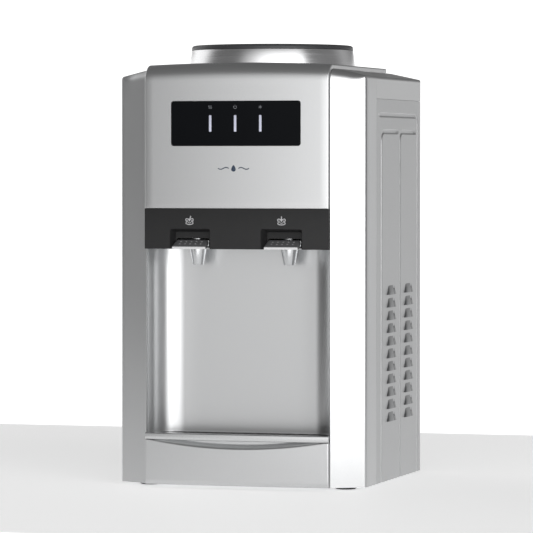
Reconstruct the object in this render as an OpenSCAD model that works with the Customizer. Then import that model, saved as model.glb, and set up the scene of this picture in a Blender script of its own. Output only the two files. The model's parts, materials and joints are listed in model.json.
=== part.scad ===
// Countertop water dispenser: a bottle seat on top, two push-lever taps over an open alcove,
// a lift-out drip tray, a hot tank, a cold tank and a compressor circuit with a wire condenser.
// +X is to the right of someone facing the taps, +Y is to the back, +Z is up, and Z = 0 is the
// tabletop. All sizes are in millimetres.

/* [Body] */
// Width across the flat side panels
body_w = 306; // [304:1:312]
// Height of the flat middle of the body's top above the tabletop
body_top = 498.5; // [496:0.5:500]
// Width of the raised front band
band_w = 228; // [226:1:230]
// How far the band's middle stands forward of its edges
band_crown = 3.4; // [2.5:0.1:4]
// Radius of the band's bend from the front over to the top
band_bend = 20; // [16:1:24]
// Wall thickness of the moulded body pieces
wall = 2.5; // [2.2:0.1:2.6]
// Thickness of the sheet side panels
sheet = 2; // [1.8:0.1:2.2]
// Height of the rubber feet
foot_h = 4; // [4:0.1:4.4]

/* [Display] */
// Width of the dark display window
window_w = 160; // [140:1:170]
// Height of the dark display window
window_h = 53; // [50:1:56]
// Distance between the indicator bars
bar_pitch = 31; // [26:1:34]

/* [Alcove and taps] */
// Distance of each tap from the middle
tap_x = 57; // [55:1:59]
// Depth of the alcove behind the band's edges
alcove_depth = 56; // [54:1:56]
// Radius of the alcove's rear corners
alcove_r = 31; // [25:1:32]
// Number of rows of slots across the grille
grille_rows = 5; // [3:1:5]

/* [Side vents] */
// Number of louvres in each column
louvre_rows = 11; // [6:1:11]
// Distance between louvres
louvre_pitch = 15.3; // [14:0.1:15.5]
// How far a louvre stands out of its panel
louvre_out = 2.5; // [2:0.1:2.5]

/* [Bottle seat] */
// Outer radius of the steel collar at its foot
collar_r = 101.2; // [99:0.1:102]
// Inner radius of the well that takes the bottle's neck
well_r = 33; // [31:0.5:34]
// Outer radius of the feed probe
probe_r = 10; // [9:0.5:11]

/* [Tanks and compressor] */
// Outer radius of the cold tank
cold_r = 66; // [62:0.5:66]
// Outer radius of the hot tank
hot_r = 40; // [36:0.5:40]
// Radius of the compressor's can
pot_r = 62; // [56:1:62]

/* [Condenser] */
// Number of straight tube runs
condenser_runs = 10; // [6:2:10]
// Distance between the wires
wire_pitch = 12; // [10:1:16]

/* [Hidden] */
$fn = 64;
gap = 0.3;                                  // clearance between neighbouring pieces
side_x = body_w / 2;                        // flat side planes
band_x = band_w / 2;                        // edges of the raised band
band_y = -147;                              // front face at the band's edges
column_y = -141;                            // front face of the columns beside the band
corner_y = -120;                            // the columns' slanted faces end here at the sides
seam_y = -75;                               // columns meet side panels and top cover
rear_y = 138;                               // rear of the body shell
side_top = body_top - 8.5;                  // top edge of the sides
skirt_z = 464;                              // lower edge of the top cover
corner_r = 4;                               // body's vertical corners
top_bend = 14;                              // columns' bend from front to top
slant = atan2(corner_y - column_y, side_x - band_x);
fall = atan2(body_top - side_top, side_x - band_x);

band_top = body_top + 5.5;                  // upper face of the band's top plate
plate_back = 116;                           // rear edge of the band's top plate
band_t = 3;
band_step = 5.2;                            // depth of the band's side edges
crown_r = (pow(band_x, 2) + pow(band_crown, 2)) / (2 * band_crown);
crown_y = band_y - band_crown + crown_r;    // axis of the band's crowned front
strip_z0 = 285.2;                           // dark tap strip
strip_z1 = 333.2;
strip_back = -134;
fascia_z0 = strip_z1 + 0.2;
window_z = 434.2;                           // middle of the display window
bar_w = 3.2;
bar_h = 19.7;
board_y = -138.4;                           // front of the display board

tap_y = -116;                               // axis of each tap's valve and spout
pivot_y = -130;                             // lever pivots
pivot_z = 293;
pin_r = 1.5;
run_fit = 0.05;                             // radial clearance of turning pins
ceiling_z = 285;                            // underside of the alcove's ceiling
tap_floor = ceiling_z + 2 + gap;            // taps' flanges rest over the ceiling
chamber_top = 305;
pocket_w = 48;
pocket_top = 308.5;
pocket_y = -136;

groove_turn = 12;                           // bend of a side groove into its top run
louvre_w = 42;
louvre_h = 11;
louvre_ys = [-6, 76];                       // middles of the louvre columns
louvre_z0 = 234;                            // middle of the top louvre

alcove_x = band_x - 1;                      // alcove side walls
alcove_y = band_y + alcove_depth;           // alcove rear wall
liner_t = 1.5;
liner_floor = 46;
tray_z = 57.5;                              // underside of the tray's lip
lip_z = 65.5;                               // top of the tray's lip
tray_r = alcove_r - 1;
grille_z = 62.2;
scoop_depth = 6;                            // finger scoop under the tray's lip
scoop_h = 9.5;

seat_y = 4;                                 // axis of bottle seat and cold tank
collar_z0 = band_top + 0.4;
collar_z1 = 524;
seat_top = 530;
tank_z0 = 306;
tank_z1 = 440;
shelf_z = 288;
foam_r0 = cold_r + 7.6;
foam_r1 = 88;
coil_r = cold_r + 3.3;                      // middle of the evaporator tube
coil_z0 = 315;
coil_turns = 9;
coil_pitch = 10;

hot_c = [-88, -20];                         // hot tank
hot_z0 = 75;
hot_z1 = 250;
pot_c = [62, 60];                           // compressor
stub_z = 165;
suction_at = [102, 60];
discharge_at = [62, 100];
drier_at = [-30, 118];
drier_z = [170, 250];
hose_r = 5;
pipe_r = 3;

cond_y = 149;                               // plane of the condenser's tubes
cond_x = 105;
cond_z0 = 150;
cond_pitch = 30;
cond_z1 = cond_z0 + cond_pitch * (condenser_runs - 1);
cond_r = 2.5;
rear_t = 1.2;
rear_face = rear_y + rear_t;                // outer face of the rear panel
switch_xs = [-115, -85];
switch_z = 95;
rocker_y = 137;                             // rockers' pivots
rocker_tilt = 8;                            // each way from the middle
knob_at = [-50, 95];
gland_at = [-120, 40];
drain_at = [-75, 40];
screw_zs = [30, 160, 300, 440];
screw_x = 141;

silver = [0.74, 0.75, 0.76];
light_silver = [0.80, 0.81, 0.82];
charcoal = [0.17, 0.17, 0.18];
black = [0.05, 0.05, 0.06];
steel = [0.70, 0.71, 0.72];
copper = [0.72, 0.45, 0.28];
white = [0.92, 0.92, 0.90];
foam = [0.86, 0.84, 0.76];
brass_tone = [0.62, 0.55, 0.40];

// ---- Shared shapes ----

function unit(v) = v / norm(v);

// Where an arc of radius r touches the two edges that meet at p.
function touches(p, q, s, r) =
    r <= 0 ? [p] :
    [for (t = [q, s]) p + unit(t - p) * r / tan(acos(unit(q - p) * unit(s - p)) / 2)];

function arc_centre(p, q, s, r) =
    p + unit(unit(q - p) + unit(s - p)) * r / sin(acos(unit(q - p) * unit(s - p)) / 2);

// A convex outline whose corners have the given radii.
module rounded(points, radii) {
    n = len(points);
    polygon([for (i = [0:n - 1])
        each touches(points[i], points[(i + n - 1) % n], points[(i + 1) % n], radii[i])]);
    for (i = [0:n - 1])
        if (radii[i] > 0)
            translate(arc_centre(points[i], points[(i + n - 1) % n], points[(i + 1) % n], radii[i]))
                circle(r = radii[i]);
}

// A rectangle by its low and high corners, with one radius.
module plate2d(low, high, r = 0)
    rounded([low, [high.x, low.y], high, [low.x, high.y]], [r, r, r, r]);

module block(low, high) translate(low) cube(high - low);

module both_sides() {
    children();
    mirror([1, 0, 0]) children();
}

module at_taps() for (s = [-1, 1]) translate([s * tap_x, 0, 0]) children();

module seat_axis() translate([0, seat_y, 0]) children();

// Turns a drawing of width and height into a plate that faces along Y, from y0 to y1.
module facing(y0, y1)
    translate([0, y1, 0]) rotate([90, 0, 0]) linear_extrude(y1 - y0) children();

// A drawing turned round the crowned front's axis: x is the distance in from its face.
module crowned()
    translate([0, crown_y, 0]) rotate_extrude(angle = 10, start = -95, $fn = 360)
        translate([crown_r, 0]) mirror([1, 0]) children();

// A crowned slab from depth d0 to d1 behind the band's face, cut to the half width x.
module crown_slab(d0, d1, z0, z1, x)
    intersection() {
        crowned() translate([d0, z0]) square([d1 - d0, z1 - z0]);
        block([-x, -200, z0 - 1], [x, 200, z1 + 1]);
    }

// A round tube through the points of a path, with a slightly fuller elbow at each turn.
module pipe(path, r) {
    elbow = 1.18;
    for (i = [0:len(path) - 2]) {
        v = path[i + 1] - path[i];
        translate(path[i]) rotate([0, acos(v.z / norm(v)), atan2(v.y, v.x)])
            cylinder(r = r, h = norm(v));
    }
    for (i = [1:len(path) - 2]) translate(path[i]) sphere(r = r * elbow);
}

module ring(r0, r1, z0, z1)
    translate([0, 0, z0]) difference() {
        cylinder(r = r1, h = z1 - z0);
        translate([0, 0, -1]) cylinder(r = r0, h = z1 - z0 + 2);
    }

// ---- The body's outer form, moved in by t ----

module body_plan(t) {
    cy = corner_y + t * tan(45 - slant / 2);
    cx = band_x - t * tan(slant / 2);
    rounded([[-side_x + t, cy], [-cx, column_y + t], [cx, column_y + t],
             [side_x - t, cy], [side_x - t, rear_y - t], [-side_x + t, rear_y - t]],
            [corner_r - t, 0, 0, corner_r - t, corner_r - t, corner_r - t]);
}

module body_front(t) {
    sz = side_top - t * tan(45 - fall / 2);
    cx = band_x - t * tan(fall / 2);
    rounded([[-side_x + t, -20], [side_x - t, -20], [side_x - t, sz],
             [cx, body_top - t], [-cx, body_top - t], [-side_x + t, sz]],
            [0, 0, corner_r - t, 0, 0, corner_r - t]);
}

module body_side(t)
    rounded([[column_y + t, -20], [rear_y - t, -20], [rear_y - t, body_top - t],
             [column_y + t, body_top - t]], [0, 0, corner_r - t, top_bend - t]);

module body_form(t)
    intersection() {
        translate([0, 0, -10]) linear_extrude(600) body_plan(t);
        facing(-300, 300) body_front(t);
        translate([-200, 0, 0]) rotate([90, 0, 90]) linear_extrude(400) body_side(t);
    }

module body_shell(t)
    difference() {
        body_form(0);
        body_form(t);
    }

// ---- Body pieces ----

module base_pan()
    color(steel) difference() {
        union() {
            translate([0, 0, foot_h]) linear_extrude(1.5) body_plan(wall + gap);
            translate([0, 0, foot_h]) linear_extrude(16) difference() {
                body_plan(wall + gap);
                body_plan(wall + 1.8);
            }
        }
        for (x = [-1, 0, 1], y = [-1, 0, 1])
            translate([hot_c.x + 14 * x, 70 + 14 * y, 0]) cylinder(r = 3, h = 20);
    }

module rubber_feet()
    color(black) for (x = [-122, 122], y = [-100, 112])
        translate([x, y, 0]) rotate_extrude()
            polygon([[0, 0], [11, 0], [13, 1], [13, foot_h], [0, foot_h]]);

module column()
    intersection() {
        body_shell(wall);
        block([band_x + gap, column_y - 1, foot_h], [side_x + 1, seam_y - gap / 2, band_top]);
    }

module left_column() color(silver) mirror([1, 0, 0]) column();

module right_column() color(light_silver) column();

module groove_cut() polygon([[-4, 0.3], [4, 0.3], [0, -1.2]]);

// A pressed groove on the side face, up from the floor and then along to y1 at its top.
module groove(y, top, y1) {
    s = sign(y1 - y);
    translate([y, top - groove_turn, 0]) rotate([90, 0, 0]) linear_extrude(top) groove_cut();
    translate([y + s * groove_turn, top - groove_turn, 0])
        rotate_extrude(angle = 90, start = s > 0 ? 90 : 0) translate([groove_turn, 0]) groove_cut();
    translate([min(y1, y + s * groove_turn), top, 0]) rotate([90, 0, 90])
        linear_extrude(abs(y1 - y) - groove_turn) groove_cut();
}

module at_louvres()
    for (y = louvre_ys, i = [0:louvre_rows - 1])
        translate([y, louvre_z0 - i * louvre_pitch, 0]) children();

// A hood open at its foot, drawn as height and depth and run along the panel.
module louvre_hood()
    translate([-louvre_w / 2, 0, 0]) rotate([90, 0, 90]) linear_extrude(louvre_w)
        polygon([[-louvre_h / 2, -0.5], [-louvre_h / 2, louvre_out], [-louvre_h / 2 + 2, louvre_out],
                 [louvre_h / 2, 0], [louvre_h / 2, -0.5]]);

module louvre_slot()
    translate([1 - louvre_w / 2, 0, 0]) rotate([90, 0, 90]) linear_extrude(louvre_w - 2)
        polygon([[-louvre_h / 2 - 0.01, -sheet - 1], [-louvre_h / 2 - 0.01, louvre_out - 1],
                 [1.7 - louvre_h / 2, louvre_out - 1], [louvre_h / 2 - 2, -0.4],
                 [louvre_h / 2 - 2, -sheet - 1]]);

module on_side_face() translate([side_x, 0, 0]) rotate([90, 0, 90]) children();

module side_panel()
    difference() {
        union() {
            intersection() {
                body_shell(sheet);
                block([side_x - 18, seam_y + gap / 2, foot_h], [side_x + 1, rear_y + 1, skirt_z - gap]);
            }
            on_side_face() at_louvres() louvre_hood();
        }
        on_side_face() at_louvres() louvre_slot();
        on_side_face() {
            groove(-52, 425, 22);
            groove(35, 425, 109);
            groove(120, 445, -58);
        }
        for (z = screw_zs) translate([screw_x, rear_y + 1, z]) rotate([90, 0, 0]) cylinder(r = 1.5, h = 6);
    }

module left_side_panel() color(silver) mirror([1, 0, 0]) side_panel();

module right_side_panel() color(silver) side_panel();

module rear_panel()
    color(steel) difference() {
        facing(rear_y, rear_face) plate2d([-side_x + 6, foot_h + 3], [side_x - 6, skirt_z - gap], 3);
        for (x = [-1, 1], z = screw_zs)
            translate([x * screw_x, rear_face + 1, z]) rotate([90, 0, 0]) cylinder(r = 1.8, h = 6);
        for (x = switch_xs)
            block([x - 8.5, rear_y - 1, switch_z - 13.5], [x + 8.5, rear_face + 1, switch_z + 13.5]);
        for (hole = [[knob_at, 4], [gland_at, 8], [drain_at, 9], [[cond_x, cond_z1], 5],
                     [[drier_at.x, cond_z0], 5]])
            translate([hole[0].x, rear_face + 1, hole[0].y]) rotate([90, 0, 0])
                cylinder(r = hole[1], h = 6);
        facing(rear_y - 1, rear_face + 1)
            for (row = [0:5], column = [0:2])
                plate2d([8 + 38 * column, 32 + 14 * row], [38 + 38 * column, 37 + 14 * row], 2.4);
    }

module top_cover()
    color(silver) difference() {
        intersection() {
            body_shell(wall);
            block([-side_x - 1, seam_y + gap / 2, skirt_z], [side_x + 1, rear_y + 1, band_top]);
        }
        seat_axis() translate([0, 0, skirt_z]) cylinder(r = 96, h = 60);
    }

// The band's outline seen from the side, d in from its outer face.
module band_outline(d)
    rounded([[d, fascia_z0 - (d > 0 ? 1 : 0)], [crown_y, fascia_z0 - (d > 0 ? 1 : 0)],
             [crown_y, band_top - d], [d, band_top - d]], [0, 0, 0, band_bend - d]);

module band_sheet(t, x0, x1)
    intersection() {
        crowned() difference() {
            band_outline(0);
            band_outline(t);
        }
        block([x0, -200, fascia_z0], [x1, plate_back, band_top + 1]);
    }

module upper_fascia()
    color(light_silver) difference() {
        union() {
            band_sheet(band_t, -band_x, band_x);
            both_sides() band_sheet(band_step, band_x - 2.5, band_x);
        }
        facing(-200, -130) translate([0, window_z]) plate2d([-1, -1] * 0.25 - [window_w, window_h] / 2,
            [1, 1] * 0.25 + [window_w, window_h] / 2, 3);
        seat_axis() translate([0, 0, body_top]) cylinder(r = 96, h = 20);
    }

module display_window()
    color(black) difference() {
        union() {
            intersection() {
                crown_slab(-0.2, 4, window_z - 40, window_z + 40, band_x);
                facing(-200, -130) translate([0, window_z])
                    plate2d(-[window_w, window_h] / 2, [window_w, window_h] / 2, 2.8);
            }
            crown_slab(3.2, 4.8, window_z - window_h / 2 - 4, window_z + window_h / 2 + 4,
                       window_w / 2 + 4);
            for (x = [-1, 1], z = [-1, 1])
                translate([x * (window_w / 2 - 8), board_y, window_z + z * 18]) rotate([90, 0, 0])
                    cylinder(r = 3, h = 7);
        }
        for (x = [-1, 0, 1])
            facing(-200, -130) translate([x * bar_pitch, window_z])
                plate2d(-[bar_w, bar_h] / 2, [bar_w, bar_h] / 2);
    }

module indicator_bars()
    color(white) for (x = [-1, 0, 1])
        intersection() {
            crown_slab(-0.3, 7, window_z - 20, window_z + 20, band_x);
            facing(-200, -130) translate([x * bar_pitch, window_z])
                plate2d(-[bar_w, bar_h] / 2 + [0.1, 0.1], [bar_w, bar_h] / 2 - [0.1, 0.1]);
        }

module display_board()
    color([0.1, 0.35, 0.2]) {
        facing(board_y, board_y + 1.6) translate([0, window_z])
            plate2d([6 - window_w, 6 - window_h] / 2, [window_w - 6, window_h - 6] / 2, 2);
        for (x = [-1, 0, 1])
            block([x * bar_pitch - 2.5, board_y - 3, window_z - 8],
                  [x * bar_pitch + 2.5, board_y, window_z + 8]);
        block([-50, board_y + 1.6, window_z - 8], [-30, board_y + 9, window_z + 8]);
    }

module tap_strip() {
    depth = strip_back - band_y + band_crown;
    color(charcoal) difference() {
        union() {
            difference() {
                crown_slab(0, depth, strip_z0, strip_z1, band_x);
                crown_slab(wall, depth + 4, strip_z0 - 2, strip_z1 - wall, band_x - wall);
            }
            intersection() {
                crown_slab(0, depth, strip_z0, strip_z1, band_x);
                at_taps() block([-pocket_w / 2 - 2.5, -200, strip_z0],
                                [pocket_w / 2 + 2.5, strip_back, pocket_top + 2.5]);
            }
        }
        at_taps() {
            block([-pocket_w / 2, -200, 280], [pocket_w / 2, pocket_y, pocket_top]);
            block([-20.5, pocket_y - 1, 280], [20.5, strip_back + 1, 300]);
        }
    }
}

module alcove_liner() {
    t = liner_t;
    x = alcove_x;
    y0 = -160;
    color(silver) difference() {
        translate([0, 0, liner_floor - 2]) linear_extrude(ceiling_z + 4 - liner_floor)
            rounded([[-x - t, y0], [x + t, y0], [x + t, alcove_y + t], [-x - t, alcove_y + t]],
                    [0, 0, alcove_r + t, alcove_r + t]);
        translate([0, 0, liner_floor]) linear_extrude(ceiling_z - liner_floor)
            rounded([[-x, y0 - 1], [x, y0 - 1], [x, alcove_y], [-x, alcove_y]],
                    [0, 0, alcove_r, alcove_r]);
        block([-200, y0 - 1, 0], [200, -137, 400]);
        block([-200, y0 - 1, ceiling_z - gap], [200, strip_back + band_crown + gap, ceiling_z + 5]);
        at_taps() translate([0, tap_y, ceiling_z - 1]) cylinder(r = 12.5, h = 5);
    }
}

module lower_fascia() {
    top = tray_z - 0.5;
    scoop_r = (pow(band_x - 5, 2) + pow(scoop_h, 2)) / (2 * scoop_h);
    color(light_silver) difference() {
        union() {
            crown_slab(0, wall, foot_h, top, band_x);
            both_sides() intersection() {
                crown_slab(0, band_step + band_crown, foot_h, top, band_x);
                block([band_x - wall, -200, 0], [band_x, column_y - gap, top]);
            }
            crown_slab(0, scoop_depth + 2, top - scoop_h - 3, top, band_x - wall + 0.5);
        }
        intersection() {
            crown_slab(-2, scoop_depth, top - scoop_h - 1, top + 1, band_x + 1);
            facing(-200, -100) translate([0, top - scoop_h + scoop_r]) circle(r = scoop_r, $fn = 360);
        }
    }
}

// ---- Drip tray ----

module tray_plan(d, y0)
    intersection() {
        rounded([[-alcove_x + d, -180], [alcove_x - d, -180], [alcove_x - d, alcove_y - d],
                 [-alcove_x + d, alcove_y - d]], [0, 0, tray_r - d, tray_r - d]);
        translate([-alcove_x, y0]) square([2 * alcove_x, alcove_y - y0]);
    }

module drip_tray()
    color(silver) difference() {
        union() {
            crown_slab(0, 9.5, tray_z, lip_z, alcove_x + 0.6);
            translate([0, 0, tray_z]) linear_extrude(grille_z + 2 - tray_z) tray_plan(0.6, -142);
            translate([0, 0, liner_floor + gap]) linear_extrude(12) tray_plan(6, -136.4);
        }
        translate([0, 0, liner_floor + 2]) linear_extrude(30) tray_plan(8, -134.5);
        translate([0, 0, grille_z - gap]) linear_extrude(30) tray_plan(4.5, -141.4);
    }

module drip_grille() {
    rows = grille_rows;
    pitch = 8.4;
    color(charcoal) difference() {
        translate([0, 0, grille_z]) linear_extrude(1.8) tray_plan(4.8, -141.1);
        for (row = [0:rows - 1], i = [-5:5])
            translate([i * 17 + (row % 2 == 0 ? 0 : 4), -134.5 + pitch * row, grille_z - 1]) {
                translate([-5, -1.6, 0]) cube([10, 3.2, 5]);
                for (x = [-5, 5]) translate([x, 0, 0]) cylinder(r = 1.6, h = 5, $fn = 24);
            }
    }
}

// ---- Taps ----

module tap_body()
    difference() {
        union() {
            translate([0, tap_y, 266]) cylinder(r1 = 6.8, r2 = 10, h = 19.2);
            translate([0, tap_y, 285.2]) cylinder(r = 10.2, h = chamber_top - 285.2);
            block([-20, tap_y - 9, tap_floor], [20, -96, tap_floor + 2]);
            for (x = [-19, 16]) block([x, pivot_y - 4, tap_floor], [x + 3, tap_y + 4, pivot_z + 4]);
            translate([0, tap_y, 296]) rotate([-90, 0, 0]) cylinder(r = 5, h = 20.3);
        }
        translate([0, tap_y, 265]) cylinder(r = 5, h = 30);
        translate([0, tap_y, 290]) cylinder(r = 8.2, h = 12.5);
        translate([0, tap_y, 300]) cylinder(r = 2.8, h = 10);
        translate([0, tap_y, 296]) rotate([-90, 0, 0]) cylinder(r = 3.2, h = 30);
        translate([-30, pivot_y, pivot_z]) rotate([0, 90, 0]) cylinder(r = pin_r, h = 60);
    }

module hot_tap_body() color(steel) translate([-tap_x, 0, 0]) tap_body();

module cold_tap_body() color(steel) translate([tap_x, 0, 0]) tap_body();

// The sloping paddle, the two arms that straddle the chamber and the fork under the plunger's head.
module tap_lever()
    difference() {
        union() {
            intersection() {
                translate([-30, 0, 0]) rotate([90, 0, 90]) linear_extrude(60)
                    polygon([[-153, 285.2], [-153, 288.3], [-136.3, 296.6], [-136.3, 287.5]]);
                linear_extrude(400) polygon([[-21.5, -153], [21.5, -153], [20.1, -136.3], [-20.1, -136.3]]);
            }
            for (x = [-15, 12]) {
                block([x, -137, pivot_z - 3], [x + 3, tap_y + 3, pivot_z + 3]);
                block([x, tap_y - 5, pivot_z], [x + 3, tap_y + 3, 308.4]);
            }
            for (x = [-15, 3.5]) block([x, tap_y - 5, 306.4], [x + 11.5, tap_y + 3, 308.4]);
        }
        intersection() {
            translate([-30, 0, 0]) rotate([90, 0, 90]) linear_extrude(60)
                polygon([[-151, 280], [-151, 287.2], [-138.5, 293.2], [-138.5, 280]]);
            linear_extrude(400) polygon([[-19, -151], [19, -151], [17.9, -138.5], [-17.9, -138.5]]);
        }
        translate([-30, pivot_y, pivot_z]) rotate([0, 90, 0]) cylinder(r = pin_r + run_fit, h = 60);
    }

module hot_tap_lever() color(charcoal) translate([-tap_x, 0, 0]) tap_lever();

module cold_tap_lever() color(charcoal) translate([tap_x, 0, 0]) tap_lever();

module tap_plunger()
    translate([0, tap_y, 0]) {
        translate([0, 0, 290.4]) cylinder(r1 = 6.5, r2 = 7.4, h = 3);
        translate([0, 0, 293]) cylinder(r = 2.5, h = 17);
        translate([0, 0, 309]) cylinder(r = 7, h = 2);
    }

module hot_tap_plunger() color(white) translate([-tap_x, 0, 0]) tap_plunger();

module cold_tap_plunger() color(white) translate([tap_x, 0, 0]) tap_plunger();

module tap_lever_pins()
    color(steel) at_taps() translate([-19.5, pivot_y, pivot_z]) rotate([0, 90, 0])
        cylinder(r = pin_r, h = 39);

// ---- Bottle seat ----

module bottle_collar()
    color(steel) seat_axis() rotate_extrude($fn = 180)
        polygon([[collar_r - 1.2, collar_z0], [collar_r, collar_z0], [collar_r - 2.6, collar_z1],
                 [collar_r - 3.8, collar_z1]]);

module bottle_seat() {
    inner = 86;
    top_r = collar_r - 2.6;
    color(charcoal) seat_axis() difference() {
        rotate_extrude($fn = 180) difference() {
            union() {
                rounded([[inner + 4, collar_z1 + gap], [top_r, collar_z1 + gap], [top_r, seat_top],
                         [inner + 4, seat_top]], [0, 0, 3.5, 1.5]);
                polygon([[0, 436], [11, 436], [11, 448], [well_r + 3, 448], [well_r + 3, 492],
                         [inner, 511], [inner + 7, 511], [inner + 7, collar_z0],
                         [top_r - 2, collar_z0], [top_r - 2, collar_z1 + 1],
                         [inner + 4, collar_z1 + 1], [inner, 524], [0, 524]]);
            }
            polygon([[0, 451], [well_r, 451], [well_r, 494], [inner, 519], [inner + 4.1, 531], [0, 531]]);
        }
        translate([0, 0, 430]) cylinder(r = 5, h = 40);
    }
}

module bottle_probe()
    color(white) seat_axis() difference() {
        union() {
            translate([0, 0, 451]) cylinder(r = 14, h = 2);
            translate([0, 0, 451]) cylinder(r = probe_r, h = 41);
            translate([0, 0, 492]) cylinder(r1 = probe_r - 0.01, r2 = 5, h = 5);
        }
        translate([0, 0, 450]) cylinder(r = probe_r - 2.5, h = 40);
        for (a = [0, 90]) rotate([0, 0, a]) block([-20, -3, 454], [20, 3, 462]);
    }

// ---- Cold side ----

module cold_tank()
    color(steel) seat_axis() difference() {
        union() {
            translate([0, 0, tank_z0]) cylinder(r = cold_r, h = tank_z1 - tank_z0);
            translate([0, 0, tank_z1 - 1.5]) cylinder(r = cold_r + 4, h = 1.5);
            for (x = [0, 40]) translate([x, 0, 280]) cylinder(r = hose_r, h = 27);
        }
        translate([0, 0, tank_z0 + 1]) cylinder(r = cold_r - 1, h = 200);
        for (x = [0, 40]) translate([x, 0, 270]) cylinder(r = hose_r - 1.2, h = 40);
    }

module cold_tank_lid()
    color(white) seat_axis() difference() {
        union() {
            translate([0, 0, tank_z1 + 0.2]) cylinder(r = cold_r + 6, h = 3.8);
            translate([0, 0, tank_z1 - 5]) cylinder(r = cold_r - 1.4, h = 6);
        }
        translate([0, 0, tank_z1 - 10]) cylinder(r = 12, h = 20);
        translate([0, 0, tank_z1 - 6]) cylinder(r = cold_r - 3.4, h = 5);
    }

module tank_baffle()
    color(white) seat_axis() difference() {
        union() {
            translate([0, 0, 396]) cylinder(r = cold_r - 5, h = 2);
            translate([0, 0, tank_z0 + 1]) cylinder(r = 6, h = 92);
        }
        translate([0, 0, tank_z0]) cylinder(r = 4, h = 110);
        for (a = [0:60:300]) rotate([0, 0, a]) translate([cold_r - 20, 0, 390]) cylinder(r = 5, h = 12);
    }

module evaporator_coil()
    color(copper) seat_axis() {
        for (i = [0:coil_turns - 1])
            translate([0, 0, coil_z0 + i * coil_pitch])
                rotate_extrude() translate([coil_r, 0]) circle(r = pipe_r, $fn = 24);
        translate([0, coil_r + 0.6, coil_z0 - 1]) cylinder(r = 3.3, h = coil_pitch * (coil_turns - 1) + 2);
    }

// Where a pipe from the plan point p reaches the coil's outer side.
function coil_end(p) = [0, seat_y] + unit(p - [0, seat_y]) * (coil_r + pipe_r + 0.1);

module insulation_half(from)
    seat_axis() rotate_extrude(angle = 180, start = from)
        polygon([[8, shelf_z + 2.2], [foam_r1, shelf_z + 2.2], [foam_r1, tank_z1 - 2],
                 [foam_r0, tank_z1 - 2], [foam_r0, tank_z0], [8, tank_z0]]);

module front_insulation()
    color(foam) difference() {
        insulation_half(180);
        seat_axis() translate([40, 0, 280]) cylinder(r = 8, h = 40);
    }

module rear_insulation()
    color(foam) difference() {
        insulation_half(0);
        seat_axis() translate([40, 0, 280]) cylinder(r = 8, h = 40);
        for (run = [[suction_at, coil_z0 + coil_pitch * (coil_turns - 1), 4.5], [drier_at, coil_z0, 3]])
            pipe([[coil_end(run[0]).x, coil_end(run[0]).y, run[1]], [run[0].x, run[0].y, run[1]]], run[2]);
    }

module tank_shelf()
    color(steel) difference() {
        union() {
            block([-side_x + sheet + gap, -68, shelf_z], [side_x - sheet - gap, rear_y - 4, shelf_z + 2]);
            both_sides() block([side_x - sheet - gap - 1.5, -68, shelf_z - 16],
                               [side_x - sheet - gap, rear_y - 4, shelf_z + 1]);
        }
        for (hole = [[0, seat_y, 8], [40, seat_y, 8], [suction_at.x, suction_at.y, 6],
                     [drier_at.x, drier_at.y, 4], [cond_x, 122, 6]])
            translate([hole[0], hole[1], shelf_z - 1]) cylinder(r = hole[2], h = 5);
    }

// ---- Hot side ----

module at_hot_tank() translate([hot_c.x, hot_c.y, 0]) children();

module hot_tank()
    color(steel) at_hot_tank() difference() {
        union() {
            translate([0, 0, hot_z0]) rotate_extrude() intersection() {
                plate2d([-hot_r, 0], [hot_r, hot_z1 - hot_z0], 8);
                square([hot_r, hot_z1]);
            }
            translate([0, 0, 50]) cylinder(r = hose_r, h = 30);
            translate([0, 0, hot_z1 - 5]) cylinder(r = hose_r, h = 23);
        }
        translate([0, 0, hot_z0 + 1.5]) rotate_extrude() intersection() {
            plate2d([1.5 - hot_r, 0], [hot_r - 1.5, hot_z1 - hot_z0 - 3], 6.5);
            square([hot_r, hot_z1]);
        }
        translate([0, 0, 45]) cylinder(r = hose_r - 1.2, h = 260);
    }

module heater_band()
    color(brass_tone) at_hot_tank() rotate_extrude(angle = 345, start = 8)
        translate([hot_r + 0.2, 120]) square([2.6, 60]);

module hot_tank_jacket()
    color(foam) at_hot_tank() rotate_extrude()
        polygon([[9, 58.3], [hot_r + 12, 58.3], [hot_r + 12, 262], [hot_r + 4, 262],
                 [hot_r + 4, hot_z0], [9, hot_z0]]);

module hot_tank_thermostats()
    color(white) at_hot_tank() for (x = [-20, 20]) translate([x, 0, hot_z1]) {
        cylinder(r = 8, h = 5);
        translate([0, 0, 5]) ring(3, 6, 0, 2);
    }

module hot_tank_stand()
    color(steel) at_hot_tank() {
        ring(12, hot_r + 8, 56, 58);
        for (a = [90, 210, 330]) rotate([0, 0, a]) translate([hot_r - 2, 0, foot_h + 1.5])
            cylinder(r = 4, h = 56 - foot_h - 1);
    }

// ---- Compressor circuit ----

module compressor_foot_places()
    for (x = [-60, 60], y = [-45, 45]) translate([pot_c.x + x, pot_c.y + y, 0]) children();

module compressor()
    color(black) difference() {
        union() {
            translate([pot_c.x, pot_c.y, 0]) {
                rotate_extrude() intersection() {
                    plate2d([-pot_r, 22], [pot_r, 152], 26);
                    square([pot_r, 200]);
                }
                translate([0, 0, 88]) cylinder(r = pot_r + 2.5, h = 3);
                translate([0, 0, 20]) linear_extrude(3) plate2d([-72, -57], [72, 57], 8);
            }
            for (p = [suction_at, discharge_at])
                translate([p.x, p.y, 130]) cylinder(r = 4, h = stub_z - 130);
        }
        compressor_foot_places() translate([0, 0, 19]) cylinder(r = 5, h = 5);
    }

module compressor_grommets()
    color(charcoal) compressor_foot_places() {
        ring(3.2, 9, foot_h + 1.5, 20);
        ring(3.2, 4.9, 20, 23);
        ring(3.2, 8, 23, 26);
    }

module compressor_bolts()
    color(steel) compressor_foot_places() {
        translate([0, 0, foot_h + 1.5]) cylinder(r = 3, h = 21.5);
        translate([0, 0, 26]) cylinder(r = 7, h = 4, $fn = 6);
    }

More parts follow.
